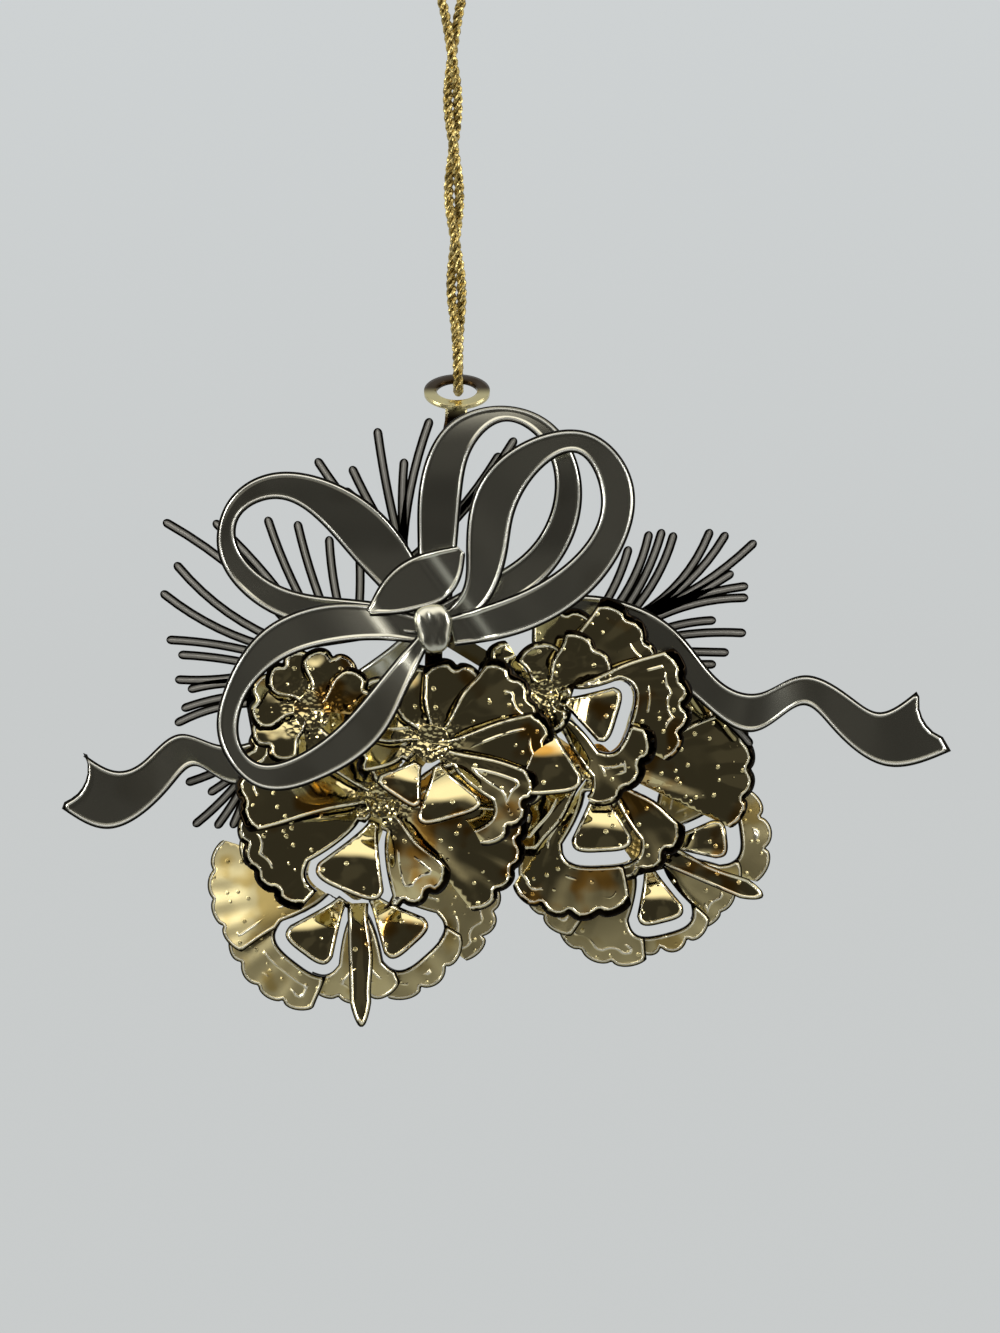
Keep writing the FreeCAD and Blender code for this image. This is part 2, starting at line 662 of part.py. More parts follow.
def spinePath(start, seats):
    # Each seat is flat for the hub; the step to the next tier lies between the two hubs
    path = [start[0], start[1]]
    flat = 1.3
    clear = hubRadius + 0.3
    for index, (x, y, z) in enumerate(seats):
        before = path[-1] if index == 0 else seats[index - 1]
        inward = Vector(before[0] - x, 0, before[2] - z).normalize()
        seat = Vector(x, y, z)
        path.append(tuple(seat + inward * clear))
        if index + 1 < len(seats):
            after = seats[index + 1]
            outward = Vector(after[0] - x, 0, after[2] - z).normalize()
            path.append(tuple(seat + outward * flat))
        else:
            path.append(tuple(seat - inward * flat))
    return path


leftSeats = spineSeats(leftCone, ["left_cone_scales_2", "left_cone_scales_3", "left_cone_scales_4"])
leftStart = [
    (joint.x, layerFront("left_cone_spine"), joint.z),
    (joint.x - 0.1, layerFront("left_cone_spine"), joint.z - 2.2),
]
rightSeats = spineSeats(rightCone, ["right_cone_scales_2", "right_cone_scales_3", "right_cone_scales_4"])
rightStart = [
    (joint.x, layerFront("right_cone_spine"), joint.z),
    (joint.x + 2.0, layerFront("right_cone_spine"), joint.z - 1.2),
]
for name, start, seats in (
    ("left_cone_spine", leftStart, leftSeats), ("right_cone_spine", rightStart, rightSeats),
):
    strip = foldedStrip(name + "_strip", spinePath(start, seats), size("spine_width"))
    subParts.append(rivetedSheet(name, [strip]))

# Knot: the bow's formed knot cap, whose shank rivets the stack together

stackDepth = sheet * len(stackOrder)
knotFront = size("stack_front")
shank = doc.addObject("Part::Cylinder", "knot_shank")
shank.setExpression("Radius", "sizes.rivet_radius")
shank.setExpression("Height", "sizes.sheet_thickness * %d" % len(stackOrder))
shank.Placement = Placement(joint + Vector(0, knotFront, 0), Rotation(Vector(1, 0, 0), -90))
knotOutline = [
    (-3.7, -20.4), (-2.6, -19.8), (-0.9, -20.0), (-0.3, -21.2), (-0.5, -22.6), (-0.9, -23.8), (-2.2, -24.2),
    (-3.0, -23.8), (-3.5, -22.6),
]


def knotCap(outline, height):
    # A pillow of two stacked layers: the lower one full size, the upper one drawn in
    centre = joint + Vector(0, knotFront, 0)
    rim = [Vector(x, knotFront, z) for x, z in outline]
    crown = [centre + (point - centre) * 0.62 - Vector(0, height, 0) for point in rim]
    waist = [centre + (point - centre) * 0.97 - Vector(0, 0.45 * height, 0) for point in rim]
    wires = [Part.makePolygon(points + [points[0]]) for points in (rim, waist, crown)]
    return Part.makeLoft(wires, True, True)


cap = feature("knot_cap", knotCap(knotOutline, size("rivet_head_height")))
riveted = doc.addObject("Part::Cylinder", "knot_riveted_end")
riveted.setExpression("Radius", "sizes.rivet_tail_radius")
riveted.setExpression("Height", "sizes.rivet_tail_height")
riveted.Placement = Placement(joint + Vector(0, knotFront + stackDepth, 0), Rotation(Vector(1, 0, 0), -90))
knot = doc.addObject("Part::MultiFuse", "knot")
knot.Shapes = [cap, shank, riveted]
subParts.append(knot)

# Hanging cord: one strand from the cord knot down, round the ring and back up, twisted about itself

cordKnotSeat = size("cord_knot_seat")
cordRoute = [
    (-1.15, 2.1, cordKnotSeat), (-1.15, 2.1, 45.8), (-2.7, 2.1, 43.0), (-2.4, 2.1, 39.6), (-1.2, 2.1, 36.0),
    (-0.5, 1.46, 31.5), (0.2, 2.1, 27.2), (-0.35, 2.75, 23.0), (-0.95, 2.1, 18.6), (-0.2, 1.46, 14.2),
    (0.55, 2.1, 9.8), (0.1, 2.8, 5.4), (0.1, 3.3, ringFar.z - 1.15),
    (0.1, 0.86, ringFar.z - 1.15), (0.0, 1.4, 5.4), (-0.7, 2.1, 9.8), (-0.2, 2.75, 14.2),
    (0.35, 2.1, 18.6), (-0.35, 1.46, 23.0), (-1.0, 2.1, 27.2), (-0.5, 2.75, 31.5),
    (0.2, 2.1, 36.0), (1.2, 2.1, 39.6), (1.4, 2.1, 43.0), (-0.05, 2.1, 45.8), (-0.05, 2.1, cordKnotSeat),
]


def roundedPath(points):
    # Straight runs joined by tangent arcs as large as the two runs allow
    route = [Vector(*point) for point in points]
    edges = []
    radii = []
    start = route[0]
    for before, corner, after in zip(route, route[1:], route[2:]):
        back = (before - corner).normalize()
        ahead = (after - corner).normalize()
        turn = math.pi - back.getAngle(ahead)
        inset = 0.45 * min(before.distanceToPoint(corner), after.distanceToPoint(corner))
        radius = inset / math.tan(turn / 2)
        radii.append(radius)
        first = corner + back * inset
        last = corner + ahead * inset
        bisector = (back + ahead).normalize()
        middle = corner + bisector * (radius / math.cos(turn / 2) - radius)
        edges.append(Part.makeLine(start, first))
        edges.append(Part.Arc(first, middle, last).toShape())
        start = last
    edges.append(Part.makeLine(start, route[-1]))
    return Part.Wire(edges), radii


cordPath, cordRadii = roundedPath(cordRoute)
cordRun = (Vector(*cordRoute[1]) - Vector(*cordRoute[0])).normalize()
# The strand's section is a regular polygon of the round strand's area
strandSides = 6
strandArea = math.pi * strand ** 2 / 4
strandCorner = math.sqrt(2 * strandArea / (strandSides * math.sin(2 * math.pi / strandSides)))
corners = []
for number in range(strandSides + 1):
    turn = 2 * math.pi * (number + 0.5) / strandSides
    across = Vector(math.cos(turn), math.sin(turn), 0) * strandCorner
    corners.append(Vector(*cordRoute[0]) + Rotation(Vector(0, 0, 1), cordRun).multVec(across))
cordShape = cordPath.makePipe(Part.Face(Part.makePolygon(corners)))
hangingCord = feature("hanging_cord", cordShape)
subParts.append(hangingCord)
print("cord radii", " ".join("%.1f" % radius for radius in cordRadii))
print("cord volume against section times length",
      round(cordShape.Volume / (strandArea * cordPath.Length), 4))

# Cord knot: a tight overhand knot with the two cut ends standing out above it

knotCentre = Vector(-0.6, 2.1, cordKnotSeat)
barrel = doc.addObject("Part::Cylinder", "cord_knot_body")
barrel.setExpression("Radius", "sizes.cord_knot_radius")
barrel.setExpression("Height", "sizes.cord_knot_height")
barrel.Placement = Placement(knotCentre, Rotation())
cordTails = []
for number, lean in enumerate((-22, 24)):
    tail = doc.addObject("Part::Cylinder", "cord_tail_%d" % (number + 1))
    tail.setExpression("Radius", "sizes.strand_diameter / 2")
    tail.setExpression("Height", "sizes.cord_tail_length + sizes.cord_knot_height / 2")
    foot = knotCentre + Vector(0, 0, size("cord_knot_height") / 2)
    tail.Placement = Placement(foot, Rotation(Vector(0, 1, 0), lean))
    cordTails.append(tail)
cordKnot = doc.addObject("Part::MultiFuse", "cord_knot")
cordKnot.Shapes = [barrel] + cordTails
subParts.append(cordKnot)

# Check and write every sub-part

doc.recompute()
for item in doc.Objects:
    assert not {"Invalid", "Error"} & set(item.State), item.Name
os.makedirs("parts", exist_ok=True)
for item in subParts:
    item.Label = item.Name
    shape = item.Shape
    assert not shape.isNull() and shape.isValid(), item.Name
    shape.exportStep("parts/%s.step" % item.Name)
    print(item.Name, "solids", len(shape.Solids), "volume", round(shape.Volume, 2))
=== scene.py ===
import math

import bpy
import numpy as np
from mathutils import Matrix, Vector
from mathutils.geometry import delaunay_2d_cdt


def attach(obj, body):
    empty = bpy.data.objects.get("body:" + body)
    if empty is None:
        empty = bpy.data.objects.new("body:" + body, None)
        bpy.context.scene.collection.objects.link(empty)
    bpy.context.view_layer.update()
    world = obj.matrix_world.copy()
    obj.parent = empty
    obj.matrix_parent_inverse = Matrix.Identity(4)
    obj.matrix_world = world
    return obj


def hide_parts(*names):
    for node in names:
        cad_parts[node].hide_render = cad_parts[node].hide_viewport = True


# Hanging ornament of etched, plated and folded sheet metal. Lengths are in millimetres until a mesh is made.

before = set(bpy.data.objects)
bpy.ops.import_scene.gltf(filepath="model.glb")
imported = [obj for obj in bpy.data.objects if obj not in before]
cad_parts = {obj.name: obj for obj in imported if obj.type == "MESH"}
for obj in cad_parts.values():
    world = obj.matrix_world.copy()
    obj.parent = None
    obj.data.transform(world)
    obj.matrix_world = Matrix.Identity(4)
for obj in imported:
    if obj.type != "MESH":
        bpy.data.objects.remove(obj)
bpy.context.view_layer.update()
mm = 0.001
print("frame loaded")


def newObject(name, data):
    made = bpy.data.objects.new(name, data)
    bpy.context.collection.objects.link(made)
    return made


# Camera: a long lens, level with the bow

camera = {"distance": 350.0, "sideways": 3.98, "height": -25.4, "frameHeight": 123.3}

cameraData = bpy.data.cameras.new("photoCamera")
cameraData.sensor_width = 36.0
cameraData.lens = cameraData.sensor_width * camera["distance"] / camera["frameHeight"]
cameraData.clip_start = 0.01
cameraObject = newObject("photoCamera", cameraData)
cameraObject.location = Vector((camera["sideways"], -camera["distance"], camera["height"])) * mm
cameraObject.rotation_euler = (math.radians(90), 0, 0)
bpy.context.scene.camera = cameraObject
bpy.context.scene.view_settings.view_transform = "Standard"

# Small helpers for nodes, splines and meshes


def linearColour(hexCode):
    parts = [int(hexCode[place:place + 2], 16) / 255 for place in (1, 3, 5)]
    return [((part + 0.055) / 1.055) ** 2.4 if part > 0.04045 else part / 12.92 for part in parts] + [1.0]


def setInputs(tree, node, inputs):
    for name, value in inputs.items():
        if isinstance(value, bpy.types.NodeSocket):
            tree.links.new(value, node.inputs[name])
        else:
            node.inputs[name].default_value = value


def addNode(tree, kind, settings=None, inputs=None):
    node = tree.nodes.new(kind)
    for name, value in (settings or {}).items():
        setattr(node, name, value)
    setInputs(tree, node, inputs or {})
    return node


def addMath(tree, operation, *values, clamped=False):
    settings = {"operation": operation, "use_clamp": clamped}
    return addNode(tree, "ShaderNodeMath", settings, dict(enumerate(values))).outputs[0]


def addFade(tree, value, low, high, start=0.0, end=1.0):
    return addNode(tree, "ShaderNodeMapRange", {"interpolation_type": "SMOOTHSTEP"}, {
        "Value": value, "From Min": low, "From Max": high, "To Min": start, "To Max": end,
    }).outputs["Result"]


def mixColours(tree, share, first, second, blend="MIX"):
    # Each of the two is a hex code or what another node gives
    settings = {"data_type": "RGBA", "blend_type": blend}
    first, second = (
        linearColour(colour) if isinstance(colour, str) else colour for colour in (first, second))
    return addNode(tree, "ShaderNodeMix", settings, {"Factor": share, 6: first, 7: second}).outputs[2]


def addRelief(tree, height, distance, normal=None):
    inputs = {"Height": height, "Distance": distance * mm, "Strength": 1.0}
    if normal is not None:
        inputs["Normal"] = normal
    return addNode(tree, "ShaderNodeBump", inputs=inputs).outputs["Normal"]


def addPattern(tree, kind, place, size, **inputs):
    # A pattern whose features have a real size in millimetres
    inputs.update({"Vector": place, "Scale": 1 / (size * mm)})
    return addNode(tree, "ShaderNodeTex" + kind, inputs=inputs).outputs


def readAttribute(tree, name):
    return addNode(tree, "ShaderNodeAttribute", {"attribute_name": name}).outputs["Fac"]


def newMaterial(name):
    material = bpy.data.materials.new(name)
    material.use_nodes = True
    return material, material.node_tree, material.node_tree.nodes["Principled BSDF"]


def naturalSpline(values, places, samples):
    # A smooth line through every station, straight at both ends
    values = np.asarray(values, float)
    places = np.asarray(places, float)
    samples = np.asarray(samples, float)
    steps = np.diff(places)
    slopes = np.diff(values, axis=0) / steps[:, None]
    count = len(places)
    matrix = np.zeros((count, count))
    right = np.zeros_like(values)
    matrix[0, 0] = matrix[-1, -1] = 1.0
    for row in range(1, count - 1):
        matrix[row, row - 1:row + 2] = steps[row - 1], 2 * (steps[row - 1] + steps[row]), steps[row]
        right[row] = 6 * (slopes[row] - slopes[row - 1])
    bend = np.linalg.solve(matrix, right)
    index = np.clip(np.searchsorted(places, samples) - 1, 0, count - 2)
    step = steps[index][:, None]
    before = (places[index + 1] - samples)[:, None] / step
    after = 1 - before
    line = before * values[index] + after * values[index + 1]
    curve = (before ** 3 - before) * bend[index] + (after ** 3 - after) * bend[index + 1]
    return line + curve * step ** 2 / 6


def chordPlaces(points):
    steps = np.linalg.norm(np.diff(np.asarray(points, float), axis=0), axis=1)
    return np.concatenate([[0.0], np.cumsum(steps)])


def smoothStep(value, low, high):
    share = np.clip((value - low) / (high - low), 0, 1)
    return share * share * (3 - 2 * share)


def gridPatch(points, edgeDistance):
    # A patch from a grid of points, rows along the band and columns across it
    rows, columns = points.shape[:2]
    faces = [
        (row * columns + column, row * columns + column + 1,
         (row + 1) * columns + column + 1, (row + 1) * columns + column)
        for row in range(rows - 1) for column in range(columns - 1)
    ]
    return {"points": points.reshape(-1, 3), "faces": faces, "edgeDistance": edgeDistance.reshape(-1)}


def smoothMesh(name, vertices, faces, material):
    mesh = bpy.data.meshes.new(name)
    mesh.from_pydata((np.array(vertices) * mm).tolist(), [], faces)
    mesh.polygons.foreach_set("use_smooth", [True] * len(mesh.polygons))
    mesh.materials.append(material)
    return mesh


def addPiece(name, mesh, node, thickness=None):
    piece = newObject(name, mesh)
    if thickness:
        wall = piece.modifiers.new("sheetThickness", "SOLIDIFY")
        wall.thickness = thickness * mm
        wall.offset = -1.0
    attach(piece, "root")
    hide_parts(node)
    return piece


def addSolid(name, vertices, faces, material, slot, node):
    mesh = smoothMesh(name, vertices, faces, material)
    mesh.validate()
    return addPiece(name, mesh, node)


def addSheet(name, patches, material, thickness, node):
    # Front faces laid out as patches; the sheet's thickness is added behind them
    faces = []
    start = 0
    for patch in patches:
        points = patch["points"]
        corners = points[[face[:3] for face in patch["faces"]]]
        facing = np.cross(corners[:, 1] - corners[:, 0], corners[:, 2] - corners[:, 0])[:, 1].sum()
        way = -1 if facing > 0 else 1
        faces.extend(tuple(start + index for index in face[::way]) for face in patch["faces"])
        start += len(points)
    mesh = smoothMesh(name, np.vstack([patch["points"] for patch in patches]), faces, material)
    for key in ("edgeDistance", "stipple"):
        values = np.concatenate([patch.get(key, np.zeros(len(patch["points"]))) for patch in patches])
        mesh.attributes.new(key, "FLOAT", "POINT").data.foreach_set("value", values.tolist())
    addPiece(name, mesh, node, thickness)


def curveObject(name, kind, lines):
    data = bpy.data.curves.new(name, "CURVE")
    data.dimensions = "3D"
    for line in lines:
        spline = data.splines.new(kind)
        spline.points.add(len(line) - 1)
        for point, place in zip(spline.points, line):
            point.co = [value * mm for value in place] + [1.0]
    return newObject(name, data)


def meshFromCurve(curve):
    # The mesh that a curve shows; the curve itself is removed
    mesh = bpy.data.meshes.new_from_object(curve.evaluated_get(bpy.context.evaluated_depsgraph_get()))
    bpy.data.objects.remove(curve)
    return mesh


# Finishes: patches of a deeper colour, painted shade along the etched edge, and one raised line along it and
# a broken one inside, both coloured near white as a painted highlight

plating = {
    "patches": (0.54, 0.66), "edgeFade": 0.12, "brokenLine": (0.5, 0.56), "innerWidth": 1.3,
    "smoothest": 0.8, "roughest": 1.25,
}


def addRidge(tree, edge, place, width):
    # One thin raised line at a distance from the sheet's edge
    away = addMath(tree, "ABSOLUTE", addMath(tree, "SUBTRACT", edge, place))
    return addFade(tree, away, width / 2, 0.0)


def platedMetal(name, finish):
    material, tree, shader = newMaterial(name)
    place = addNode(tree, "ShaderNodeTexCoord").outputs["Object"]
    cloud = addPattern(tree, "Noise", place, finish["cloudSize"], Detail=2.0)["Fac"]
    plate = mixColours(tree, addFade(tree, cloud, *plating["patches"]), finish["plate"], finish["plateDeep"])
    wave = addPattern(tree, "Noise", place, finish["waveSize"], Detail=1.0)["Fac"]
    rounded = None
    if finish.get("roundedEdge"):
        rounded = addNode(tree, "ShaderNodeBevel", inputs={"Radius": finish["roundedEdge"] * mm}).outputs[0]
    relief = addRelief(tree, wave, finish["waveHeight"], rounded)
    # Painted shade: the plate is painted dark above and below given heights
    if finish.get("paintedShadeBands"):
        height = addNode(tree, "ShaderNodeSeparateXYZ", inputs={"Vector": place}).outputs["Z"]
        for low, high in finish["paintedShadeBands"]:
            plate = mixColours(tree, addFade(tree, height, low * mm, high * mm), plate, finish["paintedShade"])
    if finish["etched"]:
        edge = readAttribute(tree, "edgeDistance")
        # Painted shade: the sheet's edge is coloured near black over the darkEdge width
        unshaded = addFade(tree, edge, finish["darkEdge"], finish["darkEdge"] + plating["edgeFade"])
        plate = mixColours(tree, unshaded, finish["edge"], plate)
        ridge = addRidge(tree, edge, finish["ridgeAt"], finish["ridgeWidth"])
        if finish.get("innerAt"):
            inner = addRidge(tree, edge, finish["innerAt"], finish["ridgeWidth"] * plating["innerWidth"])
            broken = addFade(tree, wave, *plating["brokenLine"])
            ridge = addMath(tree, "MAXIMUM", ridge, addMath(tree, "MULTIPLY", inner, broken))
        relief = addRelief(tree, ridge, finish["ridgeHeight"], relief)
        # Painted highlight: the raised lines are coloured towards near white
        paintedHighlight = addMath(tree, "MULTIPLY", ridge, finish["ridgeHighlight"])
        plate = mixColours(tree, paintedHighlight, plate, finish["ridge"])
    if finish.get("dotSpacing"):
        cells = addPattern(tree, "Voronoi", place, finish["dotSpacing"])["Distance"]
        dots = addFade(tree, cells, finish["dotRadius"] / finish["dotSpacing"], 0.0)
        grains = addPattern(tree, "Voronoi", place, finish["grainSpacing"])["Distance"]
        grains = addMath(tree, "MULTIPLY", grains, readAttribute(tree, "stipple"))
        relief = addRelief(tree, addMath(tree, "ADD", dots, grains), finish["dotHeight"], relief)
    rough = addNode(tree, "ShaderNodeMapRange", inputs={
        "Value": cloud, "To Min": finish["roughness"] * plating["smoothest"],
        "To Max": finish["roughness"] * plating["roughest"],
    }).outputs["Result"]
    setInputs(tree, shader, {"Base Color": plate, "Roughness": rough, "Normal": relief, "Metallic": 1.0})
    return material


# Black nickel over etched brass: a satin grey mirror, with painted shade along the etched edge and a painted
# highlight on the raised line inside it
ribbonFinish = {
    "plate": "#c4c3b4", "plateDeep": "#b4b2a2", "edge": "#100e0b", "roughness": 0.2, "etched": True,
    "darkEdge": 0.1, "ridgeAt": 0.32, "ridgeWidth": 0.2, "ridgeHeight": 0.07, "ridge": "#f6f4ee",
    "ridgeHighlight": 0.9, "cloudSize": 9.0, "waveSize": 7.0, "waveHeight": 0.04,
}
# The same plate on the needles, with a wide rim of painted shade and a painted highlight line down the middle
needleFinish = dict(
    ribbonFinish, plate="#c6c4bc", plateDeep="#aaa89e", darkEdge=0.16, roughness=0.44, ridgeAt=0.42,
    ridgeWidth=0.16, ridgeHeight=0.01)
# Bright gold plate over etched brass: a clear mirror, pressed in shallow waves, dimples and stipple, with
# painted shade on its edge and painted highlights on its raised lines
goldFinish = {
    "plate": "#cfc291", "plateDeep": "#b78c42", "edge": "#100b05", "roughness": 0.07, "etched": True,
    "darkEdge": 0.08, "ridgeAt": 0.26, "ridgeWidth": 0.24, "ridgeHeight": 0.12, "ridge": "#fdf8e4",
    "ridgeHighlight": 1.0, "cloudSize": 4.6, "waveSize": 4.0, "waveHeight": 0.15, "dotSpacing": 1.1,
    "dotRadius": 0.24, "dotHeight": 0.17, "grainSpacing": 0.45, "innerAt": 1.3,
}
# The same plate on the rearmost tiers, dulled by handling to a satin tan
satinFinish = dict(goldFinish, plate="#d9cb98", plateDeep="#c0a969", roughness=0.38, waveHeight=0.12)
# The front rosettes are crumpled more, so that they flash between light and dark
crumpledFinish = dict(goldFinish, waveSize=2.6, waveHeight=0.3, innerAt=None)
ribbonPlate = platedMetal("blackNickelPlateOnEtchedBrass", ribbonFinish)
needlePlate = platedMetal("blackNickelPlateOnNeedles", needleFinish)
goldPlate = platedMetal("brightGoldPlateOnEtchedBrass", goldFinish)
satinPlate = platedMetal("satinGoldPlateOnEtchedBrass", satinFinish)
crumpledPlate = platedMetal("crumpledGoldPlateOnEtchedBrass", crumpledFinish)
stripPlate = platedMetal("goldPlateOnPlainStrip", dict(
    goldFinish, etched=False, dotSpacing=None, waveHeight=0.12, plateDeep="#bfa35c"))
# The ring's upper arc is painted dark as a painted reflection, and the strip below it as painted shade
hangerPlate = platedMetal("goldPlateOnRingWithPaintedShade", dict(
    goldFinish, etched=False, dotSpacing=None, waveHeight=0.2, waveSize=2.4, plateDeep="#e0cf8e",
    roundedEdge=0.45, paintedShade="#3a2a14", paintedShadeBands=[(-0.4, 0.5), (-1.9, -2.6)]))

# Hanging cord: three plies of metallic thread twisted into one strand, looped round the ring

cord = {
    "diameter": 1.0, "plies": 3, "plyPitch": 2.6, "sides": 8, "facet": 0.34, "facetDepth": 0.12,
    "route": [
        (-1.15, 2.1, 47.5), (-1.15, 2.1, 45.8), (-2.7, 2.1, 43.0), (-2.4, 2.1, 39.6), (-1.2, 2.1, 36.0),
        (-0.5, 1.46, 31.5), (0.2, 2.1, 27.2), (-0.35, 2.75, 23.0), (-0.95, 2.1, 18.6), (-0.2, 1.46, 14.2),
        (0.55, 2.1, 9.8), (0.1, 2.8, 5.4), (0.1, 3.3, 0.2), (0.1, 0.86, 0.2), (0.0, 1.4, 5.4),
        (-0.7, 2.1, 9.8), (-0.2, 2.75, 14.2), (0.35, 2.1, 18.6), (-0.35, 1.46, 23.0), (-1.0, 2.1, 27.2),
        (-0.5, 2.75, 31.5), (0.2, 2.1, 36.0), (1.2, 2.1, 39.6), (1.4, 2.1, 43.0), (-0.05, 2.1, 45.8),
        (-0.05, 2.1, 47.5),
    ],
}


def routePoints(route):
    # Points along the route's spline, in millimetres
    curve = curveObject("cordRoute", "NURBS", [route])
    curve.data.resolution_u = 12
    spline = curve.data.splines[0]
    spline.order_u = 3
    spline.use_endpoint_u = True
    mesh = meshFromCurve(curve)
    points = np.array([vertex.co[:] for vertex in mesh.vertices]) / mm
    bpy.data.meshes.remove(mesh)
    return points


def twistedStrand(points, diameter, plyPitch):
    # Plies wound round the line of points; returns vertices and faces
    lengths = chordPlaces(points)
    tangents = np.gradient(points, axis=0)
    tangents /= np.linalg.norm(tangents, axis=1)[:, None]
    normal = np.cross(tangents[0], (0.3, 1.0, 0.1))
    normals = []
    for tangent in tangents:
        normal = normal - tangent * np.dot(normal, tangent)
        normal /= np.linalg.norm(normal)
        normals.append(normal)
    normals = np.array(normals)
    sideways = np.cross(tangents, normals)
    plies, sides, count = cord["plies"], cord["sides"], len(points)
    plyRadius = diameter / 2 / (1 + 1 / math.sin(math.pi / plies))
    rails = []
    faces = []
    for ply in range(plies):
        turn = 2 * math.pi * (lengths / plyPitch + ply / plies)
        outward = normals * np.cos(turn)[:, None] + sideways * np.sin(turn)[:, None]
        centres = points + outward * (diameter / 2 - plyRadius)
        starts = [(ply * sides + side) * count for side in range(sides)]
        for side, first in enumerate(starts):
            angle = 2 * math.pi * side / sides
            rails.append(centres + (normals * math.cos(angle) + sideways * math.sin(angle)) * plyRadius)
            second = starts[(side + 1) % sides]
            faces.extend(
                (first + place, second + place, second + place + 1, first + place + 1)
                for place in range(count - 1))
        faces.append(starts[::-1])
        faces.append([start + count - 1 for start in starts])
    return np.vstack(rails).tolist(), faces


def threadMaterial():
    # Metallised film wound on a thread: many small facets, each painted a random brightness from dark to
    # bright as painted glints and painted shade, with dark gaps between the turns
    material, tree, shader = newMaterial("metallisedThread")
    place = addNode(tree, "ShaderNodeTexCoord").outputs["Object"]
    facets = addPattern(tree, "Voronoi", place, cord["facet"])
    # Painted glints: each facet gets a random brightness between a dark and a bright colour
    paintedGlint = addNode(tree, "ShaderNodeSeparateColor", inputs={"Color": facets["Color"]}).outputs[0]
    setInputs(tree, shader, {
        "Base Color": mixColours(tree, paintedGlint, "#74602c", "#dcc680"), "Metallic": 0.85, "Roughness": 0.34,
        "Normal": addRelief(tree, facets["Distance"], cord["facetDepth"]),
    })
    return material


thread = threadMaterial()
cordLine = routePoints(cord["route"])
cordShape = twistedStrand(cordLine, cord["diameter"], cord["plyPitch"])
cordPiece = addSolid("twistedCord", *cordShape, thread, "cord", "hanging_cord")

cordKnot = {
    "seat": (-0.6, 2.1, 48.8), "strand": 0.95, "loopPitch": 2.4, "tailPitch": 2.6, "size": 0.36,
    "height": 0.682, "tailLength": 3.6, "tailLeans": (-22, 24),
}


def cordKnotMesh():
    # A tight overhand knot: a three-lobed closed loop of the strand with both cut ends above it
    seat = np.array(cordKnot["seat"])
    turns = np.linspace(0, 2 * math.pi, 97)
    loop = np.stack([
        (np.sin(turns) + 2 * np.sin(2 * turns)) * cordKnot["size"],
        (np.cos(turns) - 2 * np.cos(2 * turns)) * cordKnot["size"],
        -np.sin(3 * turns) * cordKnot["height"],
    ], axis=1) + seat
    vertices, faces = twistedStrand(loop, cordKnot["strand"], cordKnot["loopPitch"])
    for lean in cordKnot["tailLeans"]:
        run = np.array([math.sin(math.radians(lean)), 0, math.cos(math.radians(lean))])
        line = seat + np.linspace(0, cordKnot["tailLength"], 24)[:, None] * run
        more, moreFaces = twistedStrand(line, cordKnot["strand"], cordKnot["tailPitch"])
        faces.extend([[index + len(vertices) for index in face] for face in moreFaces])
        vertices.extend(more)
    return vertices, faces


cordKnotPiece = addSolid("cordKnot", *cordKnotMesh(), thread, "cord", "cord_knot")

# Ribbons: bands between two curved edges, with raised rims and an etched field

ribbon = {
    "sheet": 0.4, "bowSheet": 0.3, "tailSheet": 0.32, "rim": 0.5, "widestRim": 0.3, "joint": (-2.0, -22.0),
    "stackFront": -6.0, "rollStart": (-0.6, 2.2), "overlapLift": 0.34, "overlapAt": (0.62, 0.95),
}
# Places across the rim as shares of its width, and how far back the sheet lies at each but the last
rimMarks = np.array([0.0, 0.08, 0.22, 0.82, 1.04, 1.3])
rimRelief = (rimMarks[:-1], [0.07, 0.02, 0.0, 0.0, 0.07])


def acrossShares(width):
    # Places across a band of one width, closer together along the raised rims
    rim = min(ribbon["rim"], ribbon["widestRim"] * width)
    marks = np.concatenate([rimMarks * rim, np.linspace(rimMarks[-1] * rim, width / 2, 4)[1:]])
    marks = np.concatenate([marks, width - marks[-2::-1]])
    return marks / width, np.minimum(marks, width - marks), rim


def bandEdges(stations):
    # Left and right edges of a band whose stations are (x, z, width)
    stations = np.asarray(stations, float)
    middle = stations[:, :2]
    run = np.vstack([middle[1] - middle[0], middle[2:] - middle[:-2], middle[-1] - middle[-2]])
    run /= np.linalg.norm(run, axis=1)[:, None]
    side = np.stack([-run[:, 1], run[:, 0]], axis=1) * stations[:, 2:] / 2
    lines = [middle + side, middle - side]
    return [np.stack([line[:, 0], np.zeros(len(line)), line[:, 1]], axis=1) for line in lines]


def rolledDepth(roll, layer):
    # Depth of a rolled sheet: flat at the knot, bulging towards the viewer on both sides of it
    turn = math.radians(roll["turn"])
    stations = np.asarray(roll["stations"], float)
    before, after = np.split(stations, [roll["flat"] + 1])
    seat = ribbon["stackFront"] + ribbon["sheet"] * layer

    def depth(x, z):
        distance = (x - ribbon["joint"][0]) * math.cos(turn) + (z - ribbon["joint"][1]) * math.sin(turn)
        height = np.zeros_like(distance)
        for part, start, way in ((before, before[-1, 0], -1), (after, after[0, 0], 1)):
            inside = way * distance > way * start
            if len(part) > 2 and inside.any():
                held = np.clip(distance[inside], part[0, 0], part[-1, 0])
                rise = naturalSpline(part[:, 1:], part[:, 0], held)[:, 0]
                height[inside] = rise * smoothStep(np.abs(held - start), *ribbon["rollStart"])
        return seat - height

    return depth


